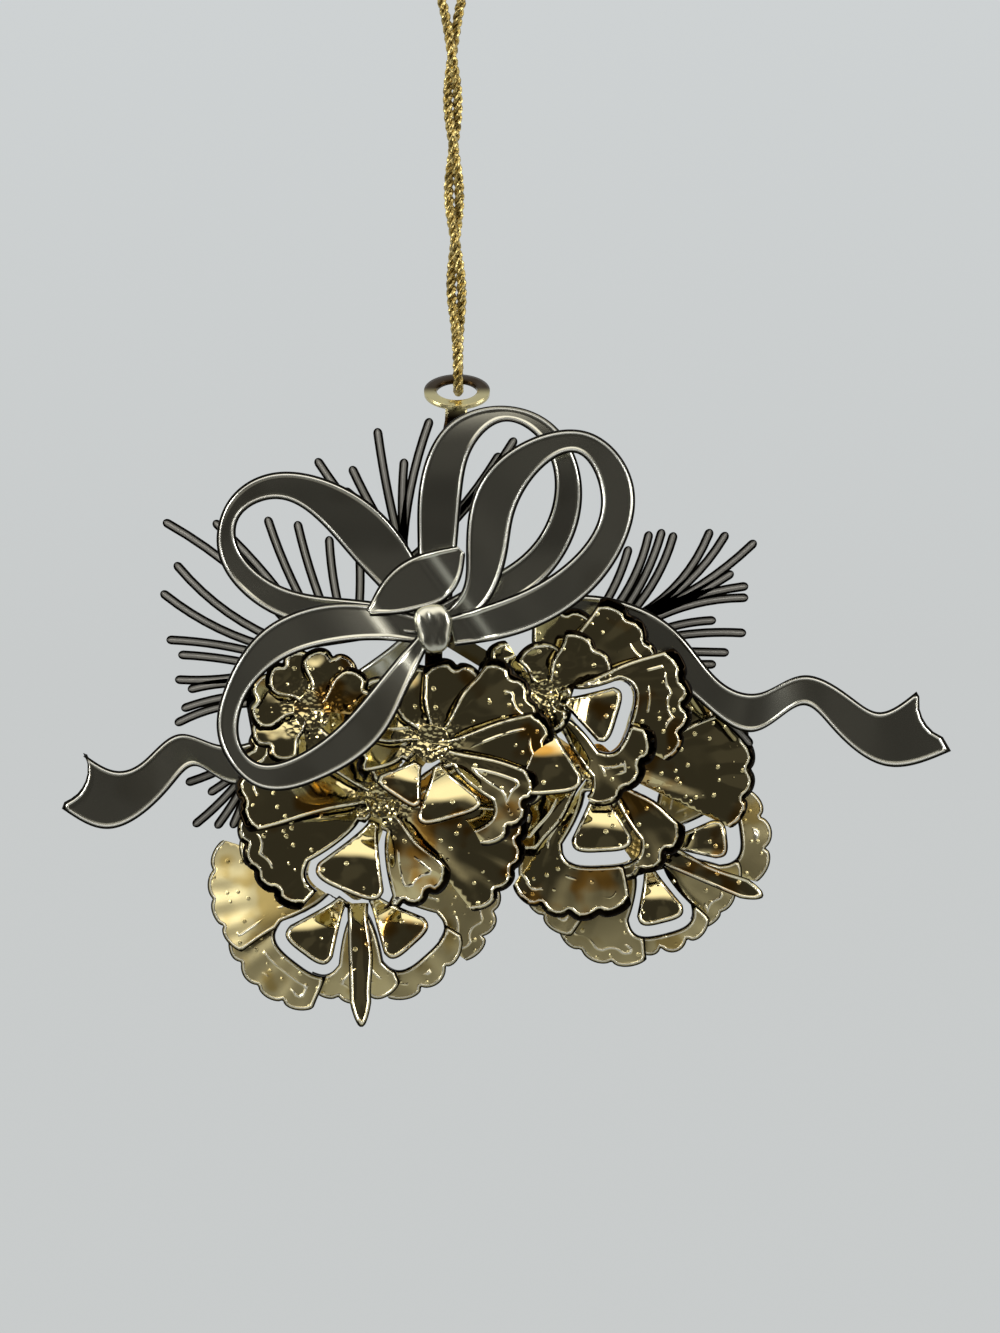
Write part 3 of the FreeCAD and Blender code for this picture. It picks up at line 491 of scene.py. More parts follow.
# A roll's stations are (distance from the joint, bulge) and a loop's are (x, z, width)
bow = {
    "rows": 150,
    "frontRoll": {
        "turn": 36.0, "flat": 4,
        "stations": [
            (-26.0, 1.6), (-20.0, 2.8), (-13.0, 3.0), (-7.0, 1.9), (-2.2, 0.0),
            (2.2, 0.0), (7.0, 1.9), (13.0, 3.0), (20.0, 2.8), (26.0, 1.6),
        ],
    },
    "backRoll": {
        "turn": 90.0, "flat": 1,
        "stations": [
            (-6.0, 0.1), (-2.2, 0.0), (2.2, 0.0), (8.0, -0.2), (13.0, 0.7), (18.0, 0.5), (23.0, -0.8),
        ],
    },
    "frontRightLoop": [
        (-0.8, -21.4, 1.9), (1.6, -19.2, 2.6), (2.7, -15.5, 3.7), (3.4, -10.9, 4.1), (7.3, -6.1, 2.8),
        (11.4, -5.2, 2.2), (14.5, -9.2, 3.1), (13.6, -14.2, 3.1), (9.7, -18.5, 3.5), (4.9, -20.9, 3.5),
        (-0.4, -22.2, 2.8),
    ],
    "frontLeftLoop": [
        (-3.0, -22.2, 2.4), (-6.7, -21.5, 3.1), (-11.7, -21.6, 3.7), (-16.4, -23.4, 3.3), (-19.8, -27.6, 2.2),
        (-20.4, -32.2, 1.9), (-18.0, -35.1, 2.2), (-12.7, -34.2, 3.0), (-7.9, -30.5, 3.5), (-5.1, -26.2, 2.4),
        (-3.0, -23.0, 1.4),
    ],
    "backLeftLoop": [
        (-3.0, -20.8, 3.0), (-4.9, -17.6, 4.0), (-7.3, -14.4, 4.8), (-11.9, -10.3, 3.7), (-16.6, -9.0, 2.4),
        (-20.3, -11.2, 1.7), (-20.9, -14.2, 1.9), (-18.8, -17.7, 2.4), (-14.5, -20.0, 2.8),
        (-9.0, -20.7, 2.8), (-3.4, -21.4, 2.4),
    ],
    "backTopLoop": [
        (-2.0, -20.4, 3.0), (-1.7, -13.7, 3.7), (-1.3, -8.6, 3.9), (0.5, -4.3, 3.1), (4.4, -2.4, 1.5),
        (8.1, -4.0, 1.9), (10.1, -8.1, 2.4), (9.5, -12.8, 2.8), (6.8, -16.6, 3.1), (2.1, -19.4, 3.0),
        (-1.2, -21.0, 2.6),
    ],
    "centreWrap": [
        (-7.8, -20.4, 0.8), (-6.1, -19.3, 3.2), (-4.2, -18.2, 4.6), (-2.4, -17.4, 4.9), (-0.8, -16.2, 3.6),
        (0.4, -14.9, 1.2),
    ],
}


def loopGrid(name, depthOf, overlaps, lift):
    # A band of the rolled sheet; where a loop closes, its end comes forward over its start
    left, right = bandEdges(bow[name])
    places = chordPlaces((left + right) / 2)
    samples = np.linspace(0, places[-1], bow["rows"])
    lines = [naturalSpline(edge, places, samples) for edge in (left, right)]
    lifts = lift - overlaps * ribbon["overlapLift"] * smoothStep(samples / places[-1], *ribbon["overlapAt"])
    rows = []
    distances = []
    for first, last, rowLift in zip(*lines, lifts):
        shares, edges, rim = acrossShares(np.linalg.norm(last - first))
        points = first + (last - first) * shares[:, None]
        points[:, 1] = depthOf(points[:, 0], points[:, 2]) + rowLift
        points[:, 1] += np.interp(edges / rim, *rimRelief)
        rows.append(points)
        distances.append(edges)
    return gridPatch(np.array(rows), np.array(distances))


for name, node, roll, layer, loops in (
        ("bowFront", "bow_front", "frontRoll", 0, (
            ("frontRightLoop", True, 0.0), ("frontLeftLoop", True, 0.0), ("centreWrap", False, -0.2))),
        ("bowBack", "bow_back", "backRoll", 1, (("backLeftLoop", True, 0.0), ("backTopLoop", True, -0.1)))):
    depthOf = rolledDepth(bow[roll], layer)
    addSheet(
        name, [loopGrid(loop, depthOf, *rise) for loop, *rise in loops], ribbonPlate, ribbon["bowSheet"],
        node)
print("bow made")

# Stations of an edge are (x, depth, z) and a bite is (x, z, radius)
tails = {
    "rows": 170, "tipRows": 30, "tipLength": 7.0, "lastRows": [0.84, 0.88, 0.92, 0.96, 0.985, 1.0],
    "rightUpper": [
        (0.4, -5.2, -20.7), (4.6, -1.6, -19.8), (8.4, -0.4, -19.1), (12.6, 0.5, -18.8), (17.9, 0.9, -20.3),
        (21.2, 1.1, -22.9), (24.4, 1.2, -26.7), (28.2, 1.0, -27.8), (32.4, -0.4, -26.2), (35.7, -0.9, -27.7),
        (39.0, -1.2, -29.6), (42.4, -1.0, -27.7),
    ],
    "rightLower": [
        (0.2, -5.2, -22.9), (4.0, -1.6, -22.3), (7.8, -0.4, -21.6), (12.0, 0.5, -21.5), (16.0, 0.9, -23.2),
        (19.0, 1.1, -25.8), (22.6, 1.2, -28.8), (27.4, 1.0, -31.5), (32.0, -0.4, -29.0), (34.6, -0.9, -31.1),
        (39.6, -1.2, -34.6), (45.6, -1.0, -33.2),
    ],
    "leftUpper": [
        (-4.7, -4.4, -22.4), (-7.6, 0.8, -24.6), (-11.6, 2.4, -27.4), (-18.2, 2.9, -32.0),
        (-22.6, 2.9, -32.6), (-26.0, 2.7, -31.7), (-29.0, 2.0, -34.0), (-32.4, 1.4, -34.9),
        (-34.8, 1.2, -33.4),
    ],
    "leftLower": [
        (-3.5, -4.4, -24.4), (-5.8, 0.8, -26.6), (-9.6, 2.4, -29.6), (-17.0, 2.9, -35.6), (-21.6, 2.9, -36.2),
        (-24.4, 2.7, -34.7), (-26.8, 2.0, -36.8), (-32.4, 1.4, -40.5), (-36.7, 1.2, -38.6),
    ],
    "rightBite": (45.6, -29.0, 2.9),
    "leftBite": (-37.3, -35.0, 3.0),
}


def tailGrid(upper, lower, bite):
    # The last stretch of every line across the band stops at the round bite, so the rim follows it
    edges = [np.asarray(edge, float) for edge in (upper, lower)]
    places = chordPlaces((edges[0] + edges[1]) / 2)
    total = places[-1]
    bend = total - tails["tipLength"]
    fine = np.linspace(bend, total, 300)
    high, low = (naturalSpline(edge, places, fine) for edge in edges)
    ends = []
    for share in acrossShares(5.0)[0]:
        line = high + (low - high) * share
        inside = (line[:, 0] - bite[0]) ** 2 + (line[:, 2] - bite[1]) ** 2 < bite[2] ** 2
        ends.append(fine[np.argmax(inside)] if inside.any() else total)
    ends = np.array(ends)
    body = np.linspace(0, bend, tails["rows"])[:-1]
    tip = np.concatenate([np.linspace(0, 1, tails["tipRows"])[:-len(tails["lastRows"])], tails["lastRows"]])
    rows = np.vstack([np.tile(body[:, None], len(ends)), bend + (ends - bend) * tip[:, None]])
    distances = np.where(np.arange(len(rows))[:, None] < len(body), np.inf, ends - rows)
    points = np.zeros(rows.shape + (3,))
    for column in range(rows.shape[1]):
        high, low = (naturalSpline(edge, places, rows[:, column]) for edge in edges)
        across = [acrossShares(width) for width in np.linalg.norm(low - high, axis=1)]
        share, side = (np.array([marks[kind][column] for marks in across]) for kind in (0, 1))
        points[:, column] = high + (low - high) * share[:, None]
        distances[:, column] = np.minimum(distances[:, column], side)
    points[:, :, 1] += np.interp(distances / ribbon["rim"], *rimRelief)
    return gridPatch(points, distances)


for side, node in (("right", "right_ribbon_tail"), ("left", "left_ribbon_tail")):
    tail = tailGrid(tails[side + "Upper"], tails[side + "Lower"], tails[side + "Bite"])
    addSheet(side + "RibbonTail", [tail], ribbonPlate, ribbon["tailSheet"], node)
print("tails made")

# Cone tiers: pressed scales with lobed tips round a hub, and tongues cut free and folded forward.
# Each scale is (angle, flare, share of the reach) and each tongue is (angle, length, half width, lift)
cones = {
    "hubRadius": 2.4, "hubOverlap": 0.3, "hubDish": 0.2, "roundelShare": 0.72, "roundelWave": 0.06,
    "roundelLift": 0.1, "openingRoot": 0.5, "tongueGap": 0.85, "tongueCorner": 0.84, "tongueEnd": 0.12,
    "tongueBowl": 0.05, "tongueRims": 0.3, "quillHalf": 1.0, "sheet": 0.28, "spacing": 0.42, "seed": 11,
    "lobePitch": 2.9, "lobeDepth": 0.85, "tipBow": 0.12, "rootShare": 0.5, "sideWave": 0.28, "frontOver": 1.0,
    "behindOver": 5.0, "bend": 1.05, "curl": 1.3, "dome": 0.02, "twist": 0.01, "lean": 0.006,
    "rippleDepth": 0.1, "rippleTurn": 5.5, "fluteDepth": 0.04, "fluteStart": (0.5, 0.95), "shingle": 0.42,
    "shingleStart": (0.6, 3.6), "wedgeFrom": 0.35, "wedgeRise": 1.3, "stippleEnd": (-0.4, 1.2),
    "lobeDip": 0.95, "lobeSpread": 0.35, "lobeSteps": 16, "tongueRoot": 0.5, "nearAngle": 2.5,
    "usualTier": {
        "halfAngle": 20, "border": 0.4, "hubShare": 1.0, "plate": goldPlate, "quill": None, "tongues": [],
        "through": (),
    },
    "left_cone_scales_1": {
        "hub": (-13.0, -7.6, -29.4), "reach": 5.8, "fall": 1.0, "halfAngle": 24, "border": 0.2,
        "plate": crumpledPlate,
        "scales": [
            (24, 14, 1.0), (72, 4, 1.0), (124, 20, 0.95), (172, 8, 1.0), (222, 24, 1.0), (276, 6, 0.95),
        ],
    },
    "left_cone_scales_2": {
        "hub": (-2.3, -5.6, -32.4), "reach": 11.6, "fall": 2.0,
        "scales": [
            (-6, 0, 1.0), (34, 0, 0.9), (74, 8, 0.68), (114, 8, 0.62), (154, 4, 0.72), (194, 6, 0.62),
            (322, 2, 0.96),
        ],
        "tongues": [(236, 6.2, 2.3, 36), (286, 7.8, 3.0, 40)],
    },
    "left_cone_scales_3": {
        "hub": (-6.7, -2.2, -37.7), "reach": 14.0, "fall": 2.8,
        "scales": [
            (290, 0, 0.74), (334, 3, 1.0), (10, 0, 1.0), (92, 0, 0.72), (132, 0, 0.9), (172, 0, 1.0),
            (211, 4, 1.0),
        ],
        "tongues": [(247, 9.4, 3.3, 30)], "through": (247,),
    },
    "left_cone_scales_4": {
        "hub": (-9.3, 1.8, -45.3), "reach": 13.6, "fall": 2.6, "border": 0.0, "plate": satinPlate,
        "scales": [
            (229, 2, 1.03), (270, 0, 0.86), (310, 2, 0.9), (349, 0, 1.0), (29, 0, 0.86), (150, 0, 0.88),
            (190, 0, 1.04),
        ],
        "quill": (272, 24, 0.98), "tongues": [(233, 8.8, 2.5, 34), (312, 8.6, 2.5, 38)],
    },
    "right_cone_scales_1": {
        "hub": (7.9, -2.8, -28.0), "reach": 6.0, "fall": 0.8, "halfAngle": 24, "border": 0.2,
        "hubShare": 0.8, "plate": crumpledPlate,
        "scales": [(44, 8, 1.15), (100, 14, 0.8), (232, 16, 0.9), (298, 26, 0.62)],
    },
    "right_cone_scales_2": {
        "hub": (7.9, -2.4, -28.0), "reach": 14.0, "fall": 2.2, "border": 0.5,
        "scales": [
            (-2, 0, 1.0), (37, 0, 0.82), (76, 0, 0.62), (150, 20, 0.46), (190, 0, 0.4), (232, 0, 0.42),
            (320, 4, 0.86),
        ],
        "tongues": [(343, 7.6, 2.6, 36), (275, 9.4, 2.9, 26)], "through": (343,),
    },
    "right_cone_scales_3": {
        "hub": (13.0, 1.8, -34.4), "reach": 15.0, "fall": 2.6,
        "scales": [
            (262, 0, 1.0), (302, 4, 0.76), (0, 0, 1.0), (32, 0, 0.84), (70, 0, 0.6), (172, 0, 0.6),
            (214, 0, 0.78),
        ],
        "tongues": [(273, 8.8, 2.8, 36)], "through": (273,),
    },
    "right_cone_scales_4": {
        "hub": (17.4, 5.2, -42.2), "reach": 12.0, "fall": 2.2, "border": 0.0, "plate": satinPlate,
        "scales": [
            (8, 2, 1.02), (48, 0, 0.85), (170, 0, 0.9), (210, 4, 1.0), (250, 0, 1.0), (290, 2, 0.88),
            (329, 0, 0.85),
        ],
        "quill": (337, 14, 1.0), "tongues": [(6, 8.4, 1.8, 36), (284, 7.8, 2.2, 34)],
    },
}


def closed(loop):
    return np.vstack([loop, loop[:1]])


def resampled(loop, spacing):
    # A closed loop with points at even spacing
    line = closed(loop)
    places = chordPlaces(line)
    count = max(int(places[-1] / spacing), 8)
    samples = np.linspace(0, places[-1], count + 1)[:-1]
    return np.stack([np.interp(samples, places, line[:, axis]) for axis in (0, 1)], axis=1)


def insideLoop(points, loop):
    # Even-odd count of crossings to the right of every point
    x, z = points[:, :1], points[:, 1:]
    ax, az = loop[:, 0], loop[:, 1]
    bx, bz = np.roll(ax, -1), np.roll(az, -1)
    spans = (az > z) != (bz > z)
    rise = np.where(bz == az, 1e-12, bz - az)
    return (spans & (x < (bx - ax) * (z - az) / rise + ax)).sum(axis=1) % 2 == 1


def lineDistance(points, line):
    # Distance from every point to the nearest run of a line of points
    first, last = line[:-1], line[1:]
    run = last - first
    length = (run ** 2).sum(axis=1) + 1e-12
    toPoint = points[:, None] - first
    share = np.clip((toPoint * run).sum(axis=2) / length, 0, 1)
    return np.linalg.norm(toPoint - share[..., None] * run, axis=2).min(axis=1)


def filledLoops(loop, openings=()):
    # Triangles that fill a loop and leave its openings free
    spacing = cones["spacing"]
    loops = [resampled(line, spacing * 0.6) for line in (loop, *openings)]
    low, high = loops[0].min(axis=0), loops[0].max(axis=0)
    x = np.arange(low[0], high[0], spacing)
    z = np.arange(low[1], high[1], spacing * 0.87)
    grid = np.stack(np.meshgrid(x, z), axis=-1)
    grid[1::2, :, 0] += spacing / 2
    grid = grid.reshape(-1, 2)
    away = np.min([lineDistance(grid, closed(line)) for line in loops], axis=0)
    grid = grid[insideLoop(grid, loops[0]) & (away > spacing * 0.4)]
    edges = []
    for line in loops:
        start = len(edges)
        edges.extend((start + place, start + (place + 1) % len(line)) for place in range(len(line)))
    result = delaunay_2d_cdt([Vector(point) for point in np.vstack(loops + [grid])], edges, [], 0, 1e-6)
    points = np.array([vertex[:] for vertex in result[0]])
    faces = np.array([face[:] for face in result[2]])
    middles = points[faces].mean(axis=1)
    kept = insideLoop(middles, loops[0])
    for opening in loops[1:]:
        kept &= ~insideLoop(middles, opening)
    used, index = np.unique(faces[kept], return_inverse=True)
    return points[used], index.reshape(-1, 3)


def scaleLoop(reach, halfAngle, radius, quill, lobes):
    # Outline in the scale's own plane: x runs out from the hub and the second value runs across.
    # A scale reaches a little behind the next one on one side, so its other side lies in front.
    if quill:
        root = radius - cones["hubOverlap"]
        rootEnds = tipEnds = np.array([-cones["quillHalf"], cones["quillHalf"]])
    else:
        root = radius * cones["rootShare"]
        spreads = np.tan(np.radians([-halfAngle - cones["behindOver"], halfAngle + cones["frontOver"]]))
        rootEnds, tipEnds = root * spreads, (1 - cones["tipBow"]) * reach * spreads
    behindRoot, frontRoot = ([(root, end)] for end in rootEnds)
    low, high = tipEnds
    count = max(round((high - low) / cones["lobePitch"]), 1)
    s = np.linspace(-1, 1, cones["lobeSteps"] * count + 1)
    phase = (s + 1) / 2 * count
    lobe = np.clip(phase.astype(int), 0, count - 1)
    bump = np.sqrt(1 - (cones["lobeDip"] * (2 * (phase - lobe) - 1)) ** 2)
    depth = cones["lobeDepth"] * (1 + cones["lobeSpread"] * lobes[lobe])
    tip = reach * (1 - cones["tipBow"] * s ** 2) - depth * (1 - bump)
    tipLine = np.stack([tip, low + (s + 1) / 2 * (high - low)], axis=1)
    share = np.linspace(0, 1, 15)[:, None]
    frontSide = tipLine[-1:] + (np.array(frontRoot) - tipLine[-1:]) * share
    ripple = np.sin((5 + 2 * lobes[0]) * share + 3 * lobes[1])
    frontSide[:, 1:] += cones["sideWave"] * np.sin(math.pi * share) * ripple
    loop = np.vstack([behindRoot, tipLine, frontSide[1:]])
    return loop, tipLine, frontSide, np.vstack([behindRoot, tipLine[:1]])


def tongueLoop(length, half, radius, gap=0.0):
    # A tongue with hollow flanks and a broad end, or with a gap the opening that it leaves
    corner = cones["tongueCorner"] * length
    start = radius - cones["hubOverlap"] + (cones["openingRoot"] if gap else 0.0)
    along = np.linspace(0, 1, 12)
    narrow = cones["tongueRoot"]
    side = narrow + gap + (half - narrow) * along ** 1.5
    flank = np.stack([start + (corner - start) * along, side], axis=1)
    turn = np.linspace(math.pi / 2, -math.pi / 2, 21)
    across = np.sign(np.sin(turn)) * np.abs(np.sin(turn)) ** 0.7 * (half + gap)
    end = np.stack([corner + (length - corner + gap) * np.cos(turn) ** 0.6, across], axis=1)
    return np.vstack([flank, end[1:-1], (flank * [1, -1])[::-1]])


def turned(loop, angle):
    turn = math.radians(angle)
    x, z, cosine, sine = loop[:, 0], loop[:, 1], math.cos(turn), math.sin(turn)
    return np.stack([x * cosine - z * sine, x * sine + z * cosine], axis=1)


def placedPatch(flat, faces, depth, edge, hub, radius, flare, angle):
    # Folds a flat patch forward at the hub's rim, then turns it round the hub
    hinge = radius - cones["hubOverlap"]
    tilt = math.radians(flare)
    x = flat[:, 0] - hinge
    out = np.maximum(x, 0)
    folded = flat[:, 0] + out * (math.cos(tilt) - 1) + depth * math.sin(tilt)
    y = -out * math.sin(tilt) + depth * math.cos(tilt)
    placed = turned(np.stack([folded, flat[:, 1]], axis=1), angle)
    points = np.stack([hub[0] + placed[:, 0], hub[1] + y, hub[2] + placed[:, 1]], axis=1)
    stipple = 1 - smoothStep(x, *cones["stippleEnd"])
    return {"points": points, "faces": faces.tolist(), "edgeDistance": edge, "stipple": stipple}


def scalePatch(tier, radius, scale, carried, quill=False):
    angle, flare, share = scale
    reach = tier["reach"] * share
    halfAngle = tier["halfAngle"]
    lobes = random.uniform(-1, 1, 8)
    loop, tipLine, frontSide, behindSide = scaleLoop(reach, halfAngle, radius, quill, lobes)
    openings = []
    clear = []
    if not quill:
        for tongueAngle, length, half, lift in tier["tongues"]:
            apart = (tongueAngle - angle + 180) % 360 - 180
            if abs(apart) < cones["nearAngle"] * halfAngle:
                openings.append(turned(tongueLoop(length, half, radius, cones["tongueGap"]), apart))
        clear = [turned(opening - tier["hub"][::2], -angle) for opening in carried]
    flat, faces = filledLoops(loop, openings + clear)

    # The painted shade along the edge is an even band along the front side and widens across the tip, moving
    # the raised line in with it
    wedge = cones["wedgeFrom"] + cones["wedgeRise"] * np.clip(0.5 + flat[:, 1] / np.ptp(tipLine[:, 1]), 0, 1)
    edge = np.maximum(lineDistance(flat, tipLine) - tier["border"] * wedge, 0)
    for line in [frontSide] + [closed(opening) for opening in openings] + ([behindSide] if quill else []):
        edge = np.minimum(edge, lineDistance(flat, line))

    # The scale falls back towards its tip, with a soft dome, a little twist, a ripple and shallow flutes
    root = radius - cones["hubOverlap"]
    out = np.clip((flat[:, 0] - root) / (reach - root), 0, 2)
    spread = math.tan(math.radians(halfAngle))
    across = flat[:, 1] / (tipLine[-1, 1] if quill else np.maximum(flat[:, 0], root) * spread)
    held = np.clip(across, -1, 1)
    twist, lean, ripple = random.uniform(-1, 1, 3)
    flutes = max(round(2 * reach * spread / cones["lobePitch"]), 1)
    depth = cones["bend"] * tier["fall"] * share * out ** cones["curl"]
    depth -= cones["dome"] * reach * (1 - held ** 4) * np.sin(math.pi * np.clip(out, 0, 1) ** 0.7)
    depth += reach * out * (cones["twist"] * twist * across + cones["lean"] * lean)
    turn = cones["rippleTurn"] * out + 2 * twist
    depth += cones["rippleDepth"] * ripple * np.sin(turn) * (1 - 0.5 * held ** 2)
    folds = np.cos(math.pi * flutes * (across + 1))
    depth -= cones["fluteDepth"] * folds * smoothStep(out, *cones["fluteStart"])
    if not quill:
        depth -= cones["shingle"] * across * smoothStep(flat[:, 0], *cones["shingleStart"])
    return placedPatch(flat, faces, depth, edge, tier["hub"], radius, flare, angle)


def tonguePatch(hub, radius, angle, length, half, lift):
    # A shallow bowl that curls back at its end
    loop = tongueLoop(length, half, radius)
    flat, faces = filledLoops(loop)
    edge = np.minimum(lineDistance(flat, closed(loop)), 0.9)
    root = radius - cones["hubOverlap"]
    out = (flat[:, 0] - root) / (length - root)
    across = flat[:, 1] / half
    depth = cones["tongueEnd"] * length * out ** 3
    depth -= cones["tongueBowl"] * length * np.sin(math.pi * out) * (1 - across ** 2)
    depth += cones["tongueRims"] * across ** 2 * smoothStep(out, 0.3, 1.0)
    return placedPatch(flat, faces, depth, edge, hub, radius, lift, angle)


def hubPatch(hub, radius):
    # A small stippled roundel over the roots of the scales, dished at its middle
    turns = np.linspace(0, 2 * math.pi, 41)
    rings = np.linspace(0.02, 1.0, 14)[:, None]
    wave = 1 + cones["roundelWave"] * np.sin(5 * turns + hub[0])
    reach = radius * cones["roundelShare"] * rings * wave
    lift = cones["roundelLift"] * (np.sin(3 * turns) * rings - 1)
    y = hub[1] + cones["hubDish"] * np.cos(rings * math.pi / 2) ** 2 + lift
    points = np.stack([hub[0] + reach * np.cos(turns), y, hub[2] + reach * np.sin(turns)], axis=-1)
    return dict(gridPatch(points, np.full(y.shape, 2.0)), stipple=np.ones(y.size))


random = np.random.default_rng(cones["seed"])
carried = []
for name in [key for key in cones if "_cone_" in key]:
    tier = {**cones["usualTier"], **cones[name]}
    hub = tier["hub"]
    radius = tier["hubShare"] * cones["hubRadius"]
    scales = [hubPatch(hub, radius)] + [scalePatch(tier, radius, scale, carried) for scale in tier["scales"]]
    tongues = []
    if tier["quill"]:
        tongues.append(scalePatch(tier, radius, tier["quill"], carried, quill=True))
    # Some openings go on through the tier behind
    carried = []
    for angle, length, half, lift in tier["tongues"]:
        tongues.append(tonguePatch(hub, radius, angle, length, half, lift))
        if angle in tier["through"]:
            carried.append(turned(tongueLoop(length, half, radius, cones["tongueGap"]), angle) + hub[::2])
    for part, patches, plate in (("", scales, tier["plate"]), ("Tongues", tongues, goldPlate)):
        if patches:
            addSheet(name.replace("_", "-") + part, patches, plate, cones["sheet"], name)
print("cone tiers made")

# Needles: pressed strips that follow short curves, with rounded tips and rims of painted shade.
# A spray lies at one depth, its plane, and each needle is (root, tip, bow).

needles = {
    "width": 0.85, "sheet": 0.3, "tipLength": 0.5, "bluntTip": 0.12, "stemWidth": 1.5,
    "tipStops": [0.5, 0.35, 0.22, 0.12, 0.05, 0.0],
    "needle_spray_top": {
        "plane": -2.6,
        "stem": [(-2.0, -3.6, -22.0), (-3.4, -3.6, -20.4), (-4.6, -3.0, -17.2), (-5.2, -2.6, -14.6)],
        "needles": [
            ((-5.4, -15.2), (-12.9, -6.3), 0.4), ((-5.2, -15.0), (-9.7, -7.0), 0.2),
            ((-5.4, -14.4), (-10.4, -9.1), -0.3), ((-5.0, -15.0), (-7.3, -3.5), 0.2),
            ((-4.8, -15.4), (-4.8, -6.3), 0.2), ((-5.0, -15.2), (-2.4, -2.6), 0.5),
            ((-4.8, -16.0), (4.0, -5.8), -0.6), ((-4.6, -16.4), (5.4, -4.4), -0.6),
        ],
    },
    "needle_spray_left": {
        "plane": 3.6,
        "stem": [
            (-2.0, -3.2, -22.0), (-4.3, -3.2, -22.0), (-6.6, 1.2, -22.0), (-8.8, 3.6, -22.2),
            (-15.2, 3.6, -23.2), (-18.6, 3.6, -25.0), (-19.0, 3.6, -29.0), (-18.8, 3.6, -33.6),
        ],
        "needles": [
            ((-14.6, -22.9), (-27.5, -11.8), -0.9), ((-13.6, -22.8), (-22.8, -11.8), -0.5),
            ((-15.8, -23.3), (-26.4, -15.7), 0.9), ((-16.8, -23.8), (-27.7, -18.4), 0.7),
            ((-17.8, -24.4), (-27.2, -22.9), -0.3), ((-18.2, -25.4), (-26.1, -24.3), -0.2),
            ((-18.6, -26.0), (-26.4, -26.6), 0.3), ((-18.8, -27.0), (-25.2, -27.6), -0.3),
            ((-18.8, -28.0), (-25.8, -29.4), -0.3), ((-18.8, -28.8), (-26.4, -30.8), -0.5),
            ((-12.6, -22.6), (-17.8, -11.4), 0.4), ((-11.4, -22.6), (-15.0, -11.8), 0.3),
            ((-10.4, -22.4), (-12.0, -13.2), 0.3), ((-9.4, -22.2), (-9.2, -14.0), -0.2),
            ((-18.6, -33.0), (-25.4, -36.3), 0.3), ((-18.4, -33.4), (-23.3, -37.3), 0.2),
            ((-18.6, -33.6), (-24.7, -40.3), 0.4), ((-18.6, -33.4), (-22.6, -40.5), 0.3),
            ((-18.8, -33.2), (-21.1, -40.5), 0.3),
        ],
    },
    "needle_spray_right": {
        "plane": 2.2,
        "stem": [
            (-2.0, -2.8, -22.0), (0.3, -2.8, -21.6), (3.4, -0.2, -20.8), (7.4, 1.8, -20.0),
            (12.0, 2.2, -20.2), (17.0, 2.2, -20.8), (20.4, 2.2, -23.2), (24.4, 2.2, -30.0),
        ],
        "needles": [
            ((13.2, -20.4), (16.0, -14.2), -0.3), ((14.4, -20.4), (17.9, -12.8), -0.5),
            ((15.4, -20.4), (19.1, -12.6), -0.4), ((16.2, -20.4), (20.2, -12.9), -0.5),
            ((17.0, -20.6), (23.6, -12.6), -0.9), ((17.2, -20.6), (25.1, -12.9), -0.8),
            ((17.4, -20.6), (27.8, -13.7), -0.6), ((17.6, -20.6), (25.7, -16.6), -0.3),
            ((17.6, -20.6), (27.1, -17.9), 0.4), ((17.8, -21.2), (27.1, -19.0), 0.6),
            ((19.0, -22.0), (24.1, -21.1), 0.2), ((20.0, -22.6), (26.9, -22.3), 0.2),
            ((20.8, -24.0), (25.3, -24.1), 0.0), ((21.4, -25.2), (24.1, -25.2), 0.0),
            ((24.2, -29.8), (27.4, -32.8), 0.2),
        ],
    },
}


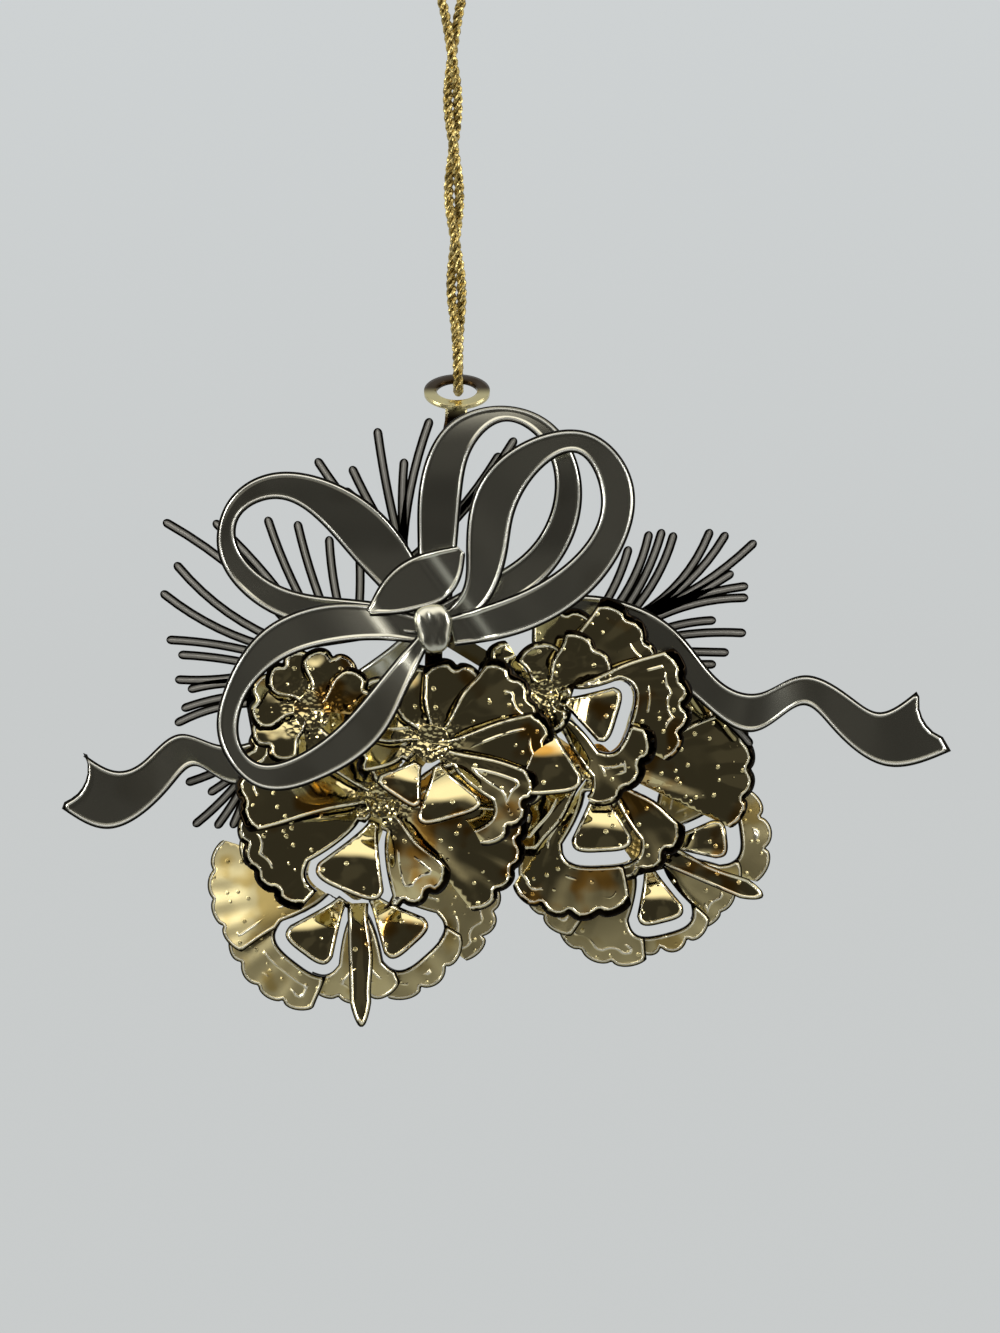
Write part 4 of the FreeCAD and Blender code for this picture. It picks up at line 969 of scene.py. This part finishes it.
def pressedStripTree():
    # Sweeps a flat strip along every curve, rounds its tip and marks how far each point is from the edge
    tree = bpy.data.node_groups.new("pressedStrips", "GeometryNodeTree")
    for name, way, kind in (
            ("Geometry", "INPUT", "Geometry"), ("Strip width", "INPUT", "Float"),
            ("Tip length", "INPUT", "Float"), ("Plate", "INPUT", "Material"),
            ("Geometry", "OUTPUT", "Geometry")):
        tree.interface.new_socket(name, in_out=way, socket_type="NodeSocket" + kind)

    def shape(kind, **inputs):
        return addNode(tree, "GeometryNode" + kind, inputs=inputs).outputs[0]

    def stored(geometry, name, value):
        return addNode(tree, "GeometryNodeStoreNamedAttribute", {"data_type": "FLOAT", "domain": "POINT"}, {
            "Geometry": geometry, "Name": name, "Value": value,
        }).outputs[0]

    def readBack(name):
        kind = "GeometryNodeInputNamedAttribute"
        return addNode(tree, kind, {"data_type": "FLOAT"}, {"Name": name}).outputs[0]

    given = addNode(tree, "NodeGroupInput").outputs
    facing = addNode(tree, "GeometryNodeSetCurveNormal", {"mode": "FREE"}, {
        "Curve": given[0], "Normal": (0, -1, 0),
    }).outputs[0]
    along = addNode(tree, "GeometryNodeSplineParameter").outputs["Length"]
    left = addMath(tree, "SUBTRACT", shape("SplineLength"), along)
    back = addMath(tree, "SUBTRACT", 1.0, addMath(tree, "DIVIDE", left, given["Tip length"], clamped=True))
    inside = addMath(tree, "SUBTRACT", 1.0, addMath(tree, "MULTIPLY", back, back), clamped=True)
    rounded = addMath(tree, "MAXIMUM", addMath(tree, "SQRT", inside), needles["bluntTip"])
    width = addMath(tree, "MULTIPLY", rounded, given["Strip width"])
    line = shape("CurvePrimitiveLine", Start=(0, -0.5, 0), End=(0, 0.5, 0))
    profile = shape("ResampleCurve", Curve=line, Count=9)
    across = addNode(tree, "ShaderNodeSeparateXYZ", inputs={"Vector": shape("InputPosition")}).outputs["Y"]
    inward = addMath(tree, "SUBTRACT", 0.5, addMath(tree, "ABSOLUTE", across))
    strip = addNode(tree, "GeometryNodeCurveToMesh", inputs={
        "Curve": stored(facing, "stripWidth", width), "Profile Curve": stored(profile, "inwardShare", inward),
        "Scale": width,
    }).outputs[0]
    edge = addMath(tree, "MULTIPLY", readBack("stripWidth"), readBack("inwardShare"))
    marked = stored(strip, "edgeDistance", addMath(tree, "MULTIPLY", edge, 1 / mm))
    solid = shape("RealizeInstances", Geometry=marked)
    plated = shape("SetMaterial", Geometry=solid, Material=given["Plate"])
    addNode(tree, "NodeGroupOutput", inputs={0: shape("SetShadeSmooth", Geometry=plated)})
    return tree


def needleLine(root, tip, bow, plane):
    # A shallow bow from root to tip, with closer points near the tip
    root, tip = np.array(root), np.array(tip)
    run = tip - root
    length = np.linalg.norm(run)
    side = np.array([-run[1], run[0]]) / length
    tipShares = 1 - np.array(needles["tipStops"]) / length
    shares = np.concatenate([np.linspace(0, tipShares[0], 9)[:-1], tipShares])
    flat = root + shares[:, None] * run + (bow * 4 * shares * (1 - shares))[:, None] * side
    return [(x, plane, z) for x, z in flat]


def stripMesh(name, lines, width):
    # One strip for each line as a plain mesh that faces the viewer
    curve = curveObject(name, "POLY", lines)
    modifier = curve.modifiers.new("strips", "NODES")
    modifier.node_group = stripTree
    inputs = {"Strip width": width * mm, "Tip length": needles["tipLength"] * mm, "Plate": needlePlate}
    for socket in stripTree.interface.items_tree:
        if socket.in_out == "INPUT" and socket.name in inputs:
            modifier[socket.identifier] = inputs[socket.name]
    mesh = meshFromCurve(curve)
    mesh.name = name
    if sum(polygon.normal.y for polygon in mesh.polygons) > 0:
        mesh.flip_normals()
    return mesh


stripTree = pressedStripTree()
for node in [key for key in needles if key.startswith("needle_spray")]:
    spray = needles[node]
    blades = [needleLine(root, tip, bow, spray["plane"]) for root, tip, bow in spray["needles"]]
    for part, lines, width in (("Needles", blades, "width"), ("Stem", [spray["stem"]], "stemWidth")):
        name = node.replace("_", "-") + part
        addPiece(name, stripMesh(name, lines, needles[width]), node, needles["sheet"])
print("needles made")

# Knot: a pressed cap with soft folds, its shank and the closed rivet end behind the stack

knot = {
    "height": 0.9, "foldDepth": 0.09, "foldPitch": 1.15, "foldSlant": 0.15, "front": -6.3,
    "capDepth": 0.25, "around": 72, "rings": 16,
    "outline": [
        (-3.7, -20.4), (-2.6, -19.8), (-0.9, -20.0), (-0.3, -21.2), (-0.5, -22.6), (-0.9, -23.8),
        (-2.2, -24.2), (-3.0, -23.8), (-3.5, -22.6),
    ],
    # Depth and radius of the shank and of the rivet's closed end
    "shank": [(-6.1, 0.8), (-2.0, 0.8), (-2.0, 1.3), (-1.86, 1.3), (-1.7, 1.04), (-1.6, 0.39)],
    "shankSides": 32,
}


def tubeFaces(start, rows, around):
    # Quads between rings of points that follow one another
    steps = [(place, (place + 1) % around) for place in range(around)]
    return [
        (first + place, first + around + place, first + around + after, first + after)
        for first in range(start, start + (rows - 1) * around, around) for place, after in steps
    ]


def knotMesh():
    outline = np.asarray(knot["outline"], float)
    loop = np.vstack([outline[-2:], outline, outline[:2]])
    places = chordPlaces(loop)
    around, rings, front = knot["around"], knot["rings"], knot["front"]
    samples = np.linspace(places[2], places[2 + len(outline)], around + 1)[:-1]
    rim = naturalSpline(loop, places, samples)
    centre = outline.mean(axis=0)
    vertices = [(centre[0], front - knot["height"], centre[1])]
    for ring in np.linspace(0.08, 1.0, rings):
        for point in rim:
            x, z = centre + (point - centre) * ring
            height = knot["height"] * (1 - ring ** 3.2) ** 0.55 if ring < 1 else 0.0
            slanted = x - centre[0] + knot["foldSlant"] * (z - centre[1])
            fold = math.cos(2 * math.pi * slanted / knot["foldPitch"])
            height += knot["foldDepth"] * fold * (1 - ring ** 4) * smoothStep(abs(z - centre[1]), 0.2, 1.4)
            vertices.append((x, front - height, z))
    vertices.extend((x, front + knot["capDepth"], z) for x, z in rim)
    faces = tubeFaces(1, rings + 1, around)
    faces.extend((0, 1 + place, 1 + (place + 1) % around) for place in range(around))
    faces.append(tuple(range(1 + rings * around, 1 + (rings + 1) * around)))
    start, sides = len(vertices), knot["shankSides"]
    for depth, radius in knot["shank"]:
        for turn in np.arange(sides) * 2 * math.pi / sides:
            x, z = ribbon["joint"]
            vertices.append((x + radius * math.cos(turn), depth, z + radius * math.sin(turn)))
    faces.extend(tubeFaces(start, len(knot["shank"]), sides))
    faces.append(tuple(range(start, start + sides)))
    faces.append(tuple(range(len(vertices) - 1, len(vertices) - 1 - sides, -1)))
    return vertices, faces


knotPlate = platedMetal("blackNickelPlateOnKnot", dict(ribbonFinish, etched=False, roughness=0.24))
addSolid("knotCap", *knotMesh(), knotPlate, "ribbon_metal", "knot")
print("knot made")

# Plain strips from the frame keep their shape and get the plate

for name, plate in (
        ("hanger_frame", hangerPlate), ("left_cone_spine", stripPlate), ("right_cone_spine", stripPlate)):
    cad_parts[name].data.materials.clear()
    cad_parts[name].data.materials.append(plate)

# Studio: pale floor, pale background, a dim room on the camera's side with bright windows round it

studio = {
    "floorBelow": 330.0, "floorFront": -300.0, "floorBack": 9000.0, "floorHalfWidth": 5000.0,
    "backTop": "#cfd3d4", "backBottom": "#c8cbcb", "backRise": 0.2, "backFrom": (-0.5, 0.2),
    "glowShare": 0.95, "glow": 1.012, "roomTint": "#fbf6ee", "patchScale": 3.4,
    # From where to where each part of the room comes in, and how bright it is at both ends
    "patches": (0.5, 0.64, 0.045, 0.08), "ceiling": (0.46, 0.66, 0.0, 1.8), "table": (-0.46, -0.7, 0.0, 0.32),
    "walls": (0.74, 0.96, 0.0, 1.2),
    # Place, width and height, power
    "windowRight": ((720, -230, 240), (300, 420), 3.2), "windowLeft": ((-640, -340, 130), (260, 420), 3.0),
}


def buildWorld():
    world = bpy.data.worlds.new("studio")
    bpy.context.scene.world = world
    world.use_nodes = True
    tree = world.node_tree
    direction = addNode(tree, "ShaderNodeTexCoord").outputs["Generated"]
    axes = addNode(tree, "ShaderNodeSeparateXYZ", inputs={"Vector": direction}).outputs
    level = addNode(tree, "ShaderNodeMapRange", inputs={"Value": axes["Z"], "From Max": studio["backRise"]})
    seen = mixColours(tree, level.outputs["Result"], studio["backBottom"], studio["backTop"])
    # The room behind the camera is dim, with lighter walls and table and a lit ceiling
    patches = addNode(tree, "ShaderNodeTexNoise", inputs={
        "Vector": direction, "Scale": studio["patchScale"], "Detail": 1.0,
    }).outputs["Fac"]
    total = addFade(tree, patches, *studio["patches"])
    for value, part in (
            (axes["Z"], "ceiling"), (axes["Z"], "table"), (addMath(tree, "ABSOLUTE", axes["X"]), "walls")):
        total = addMath(tree, "ADD", total, addFade(tree, value, *studio[part]))
    room = mixColours(tree, 1.0, studio["roomTint"], total, "MULTIPLY")
    lit = mixColours(tree, addFade(tree, axes["Y"], *studio["backFrom"]), room, seen)
    fromCamera = addNode(tree, "ShaderNodeLightPath").outputs["Is Camera Ray"]
    setInputs(tree, tree.nodes["Background"], {"Color": mixColours(tree, fromCamera, lit, seen)})


def buildFloor():
    half, depth = studio["floorHalfWidth"], camera["height"] - studio["floorBelow"]
    front, back = studio["floorFront"], studio["floorBack"]
    corners = [(-half, front), (half, front), (half, back), (-half, back)]
    mesh = bpy.data.meshes.new("floor")
    mesh.from_pydata([(x * mm, y * mm, depth * mm) for x, y in corners], [], [(0, 1, 2, 3)])
    material, tree, shader = newMaterial("paleMattFloor")
    colour = linearColour(studio["backBottom"])
    setInputs(tree, shader, {"Base Color": colour, "Roughness": 0.9})
    rays = addNode(tree, "ShaderNodeLightPath").outputs
    glow = addNode(tree, "ShaderNodeEmission", inputs={"Color": colour, "Strength": studio["glow"]})
    seen = rays["Is Camera Ray"]
    for kind in ("Is Glossy Ray", "Is Transmission Ray"):
        seen = addMath(tree, "MAXIMUM", seen, rays[kind])
    share = addMath(tree, "MULTIPLY", seen, studio["glowShare"])
    mixed = addNode(tree, "ShaderNodeMixShader", inputs={0: share, 1: shader.outputs[0], 2: glow.outputs[0]})
    setInputs(tree, tree.nodes["Material Output"], {"Surface": mixed.outputs[0]})
    mesh.materials.append(material)
    floor = newObject("floor", mesh)


def addSoftbox(name):
    place, size, power = studio[name]
    data = bpy.data.lights.new(name, "AREA")
    data.shape = "RECTANGLE"
    data.size, data.size_y = (side * mm for side in size)
    data.energy = power
    lamp = newObject(name, data)
    lamp.location = Vector(place) * mm
    aim = Vector((camera["sideways"], 0, camera["height"])) * mm - lamp.location
    lamp.rotation_mode = "QUATERNION"
    lamp.rotation_quaternion = aim.to_track_quat("-Z", "Y")


buildWorld()
buildFloor()
addSoftbox("windowRight")
addSoftbox("windowLeft")
print("studio made")
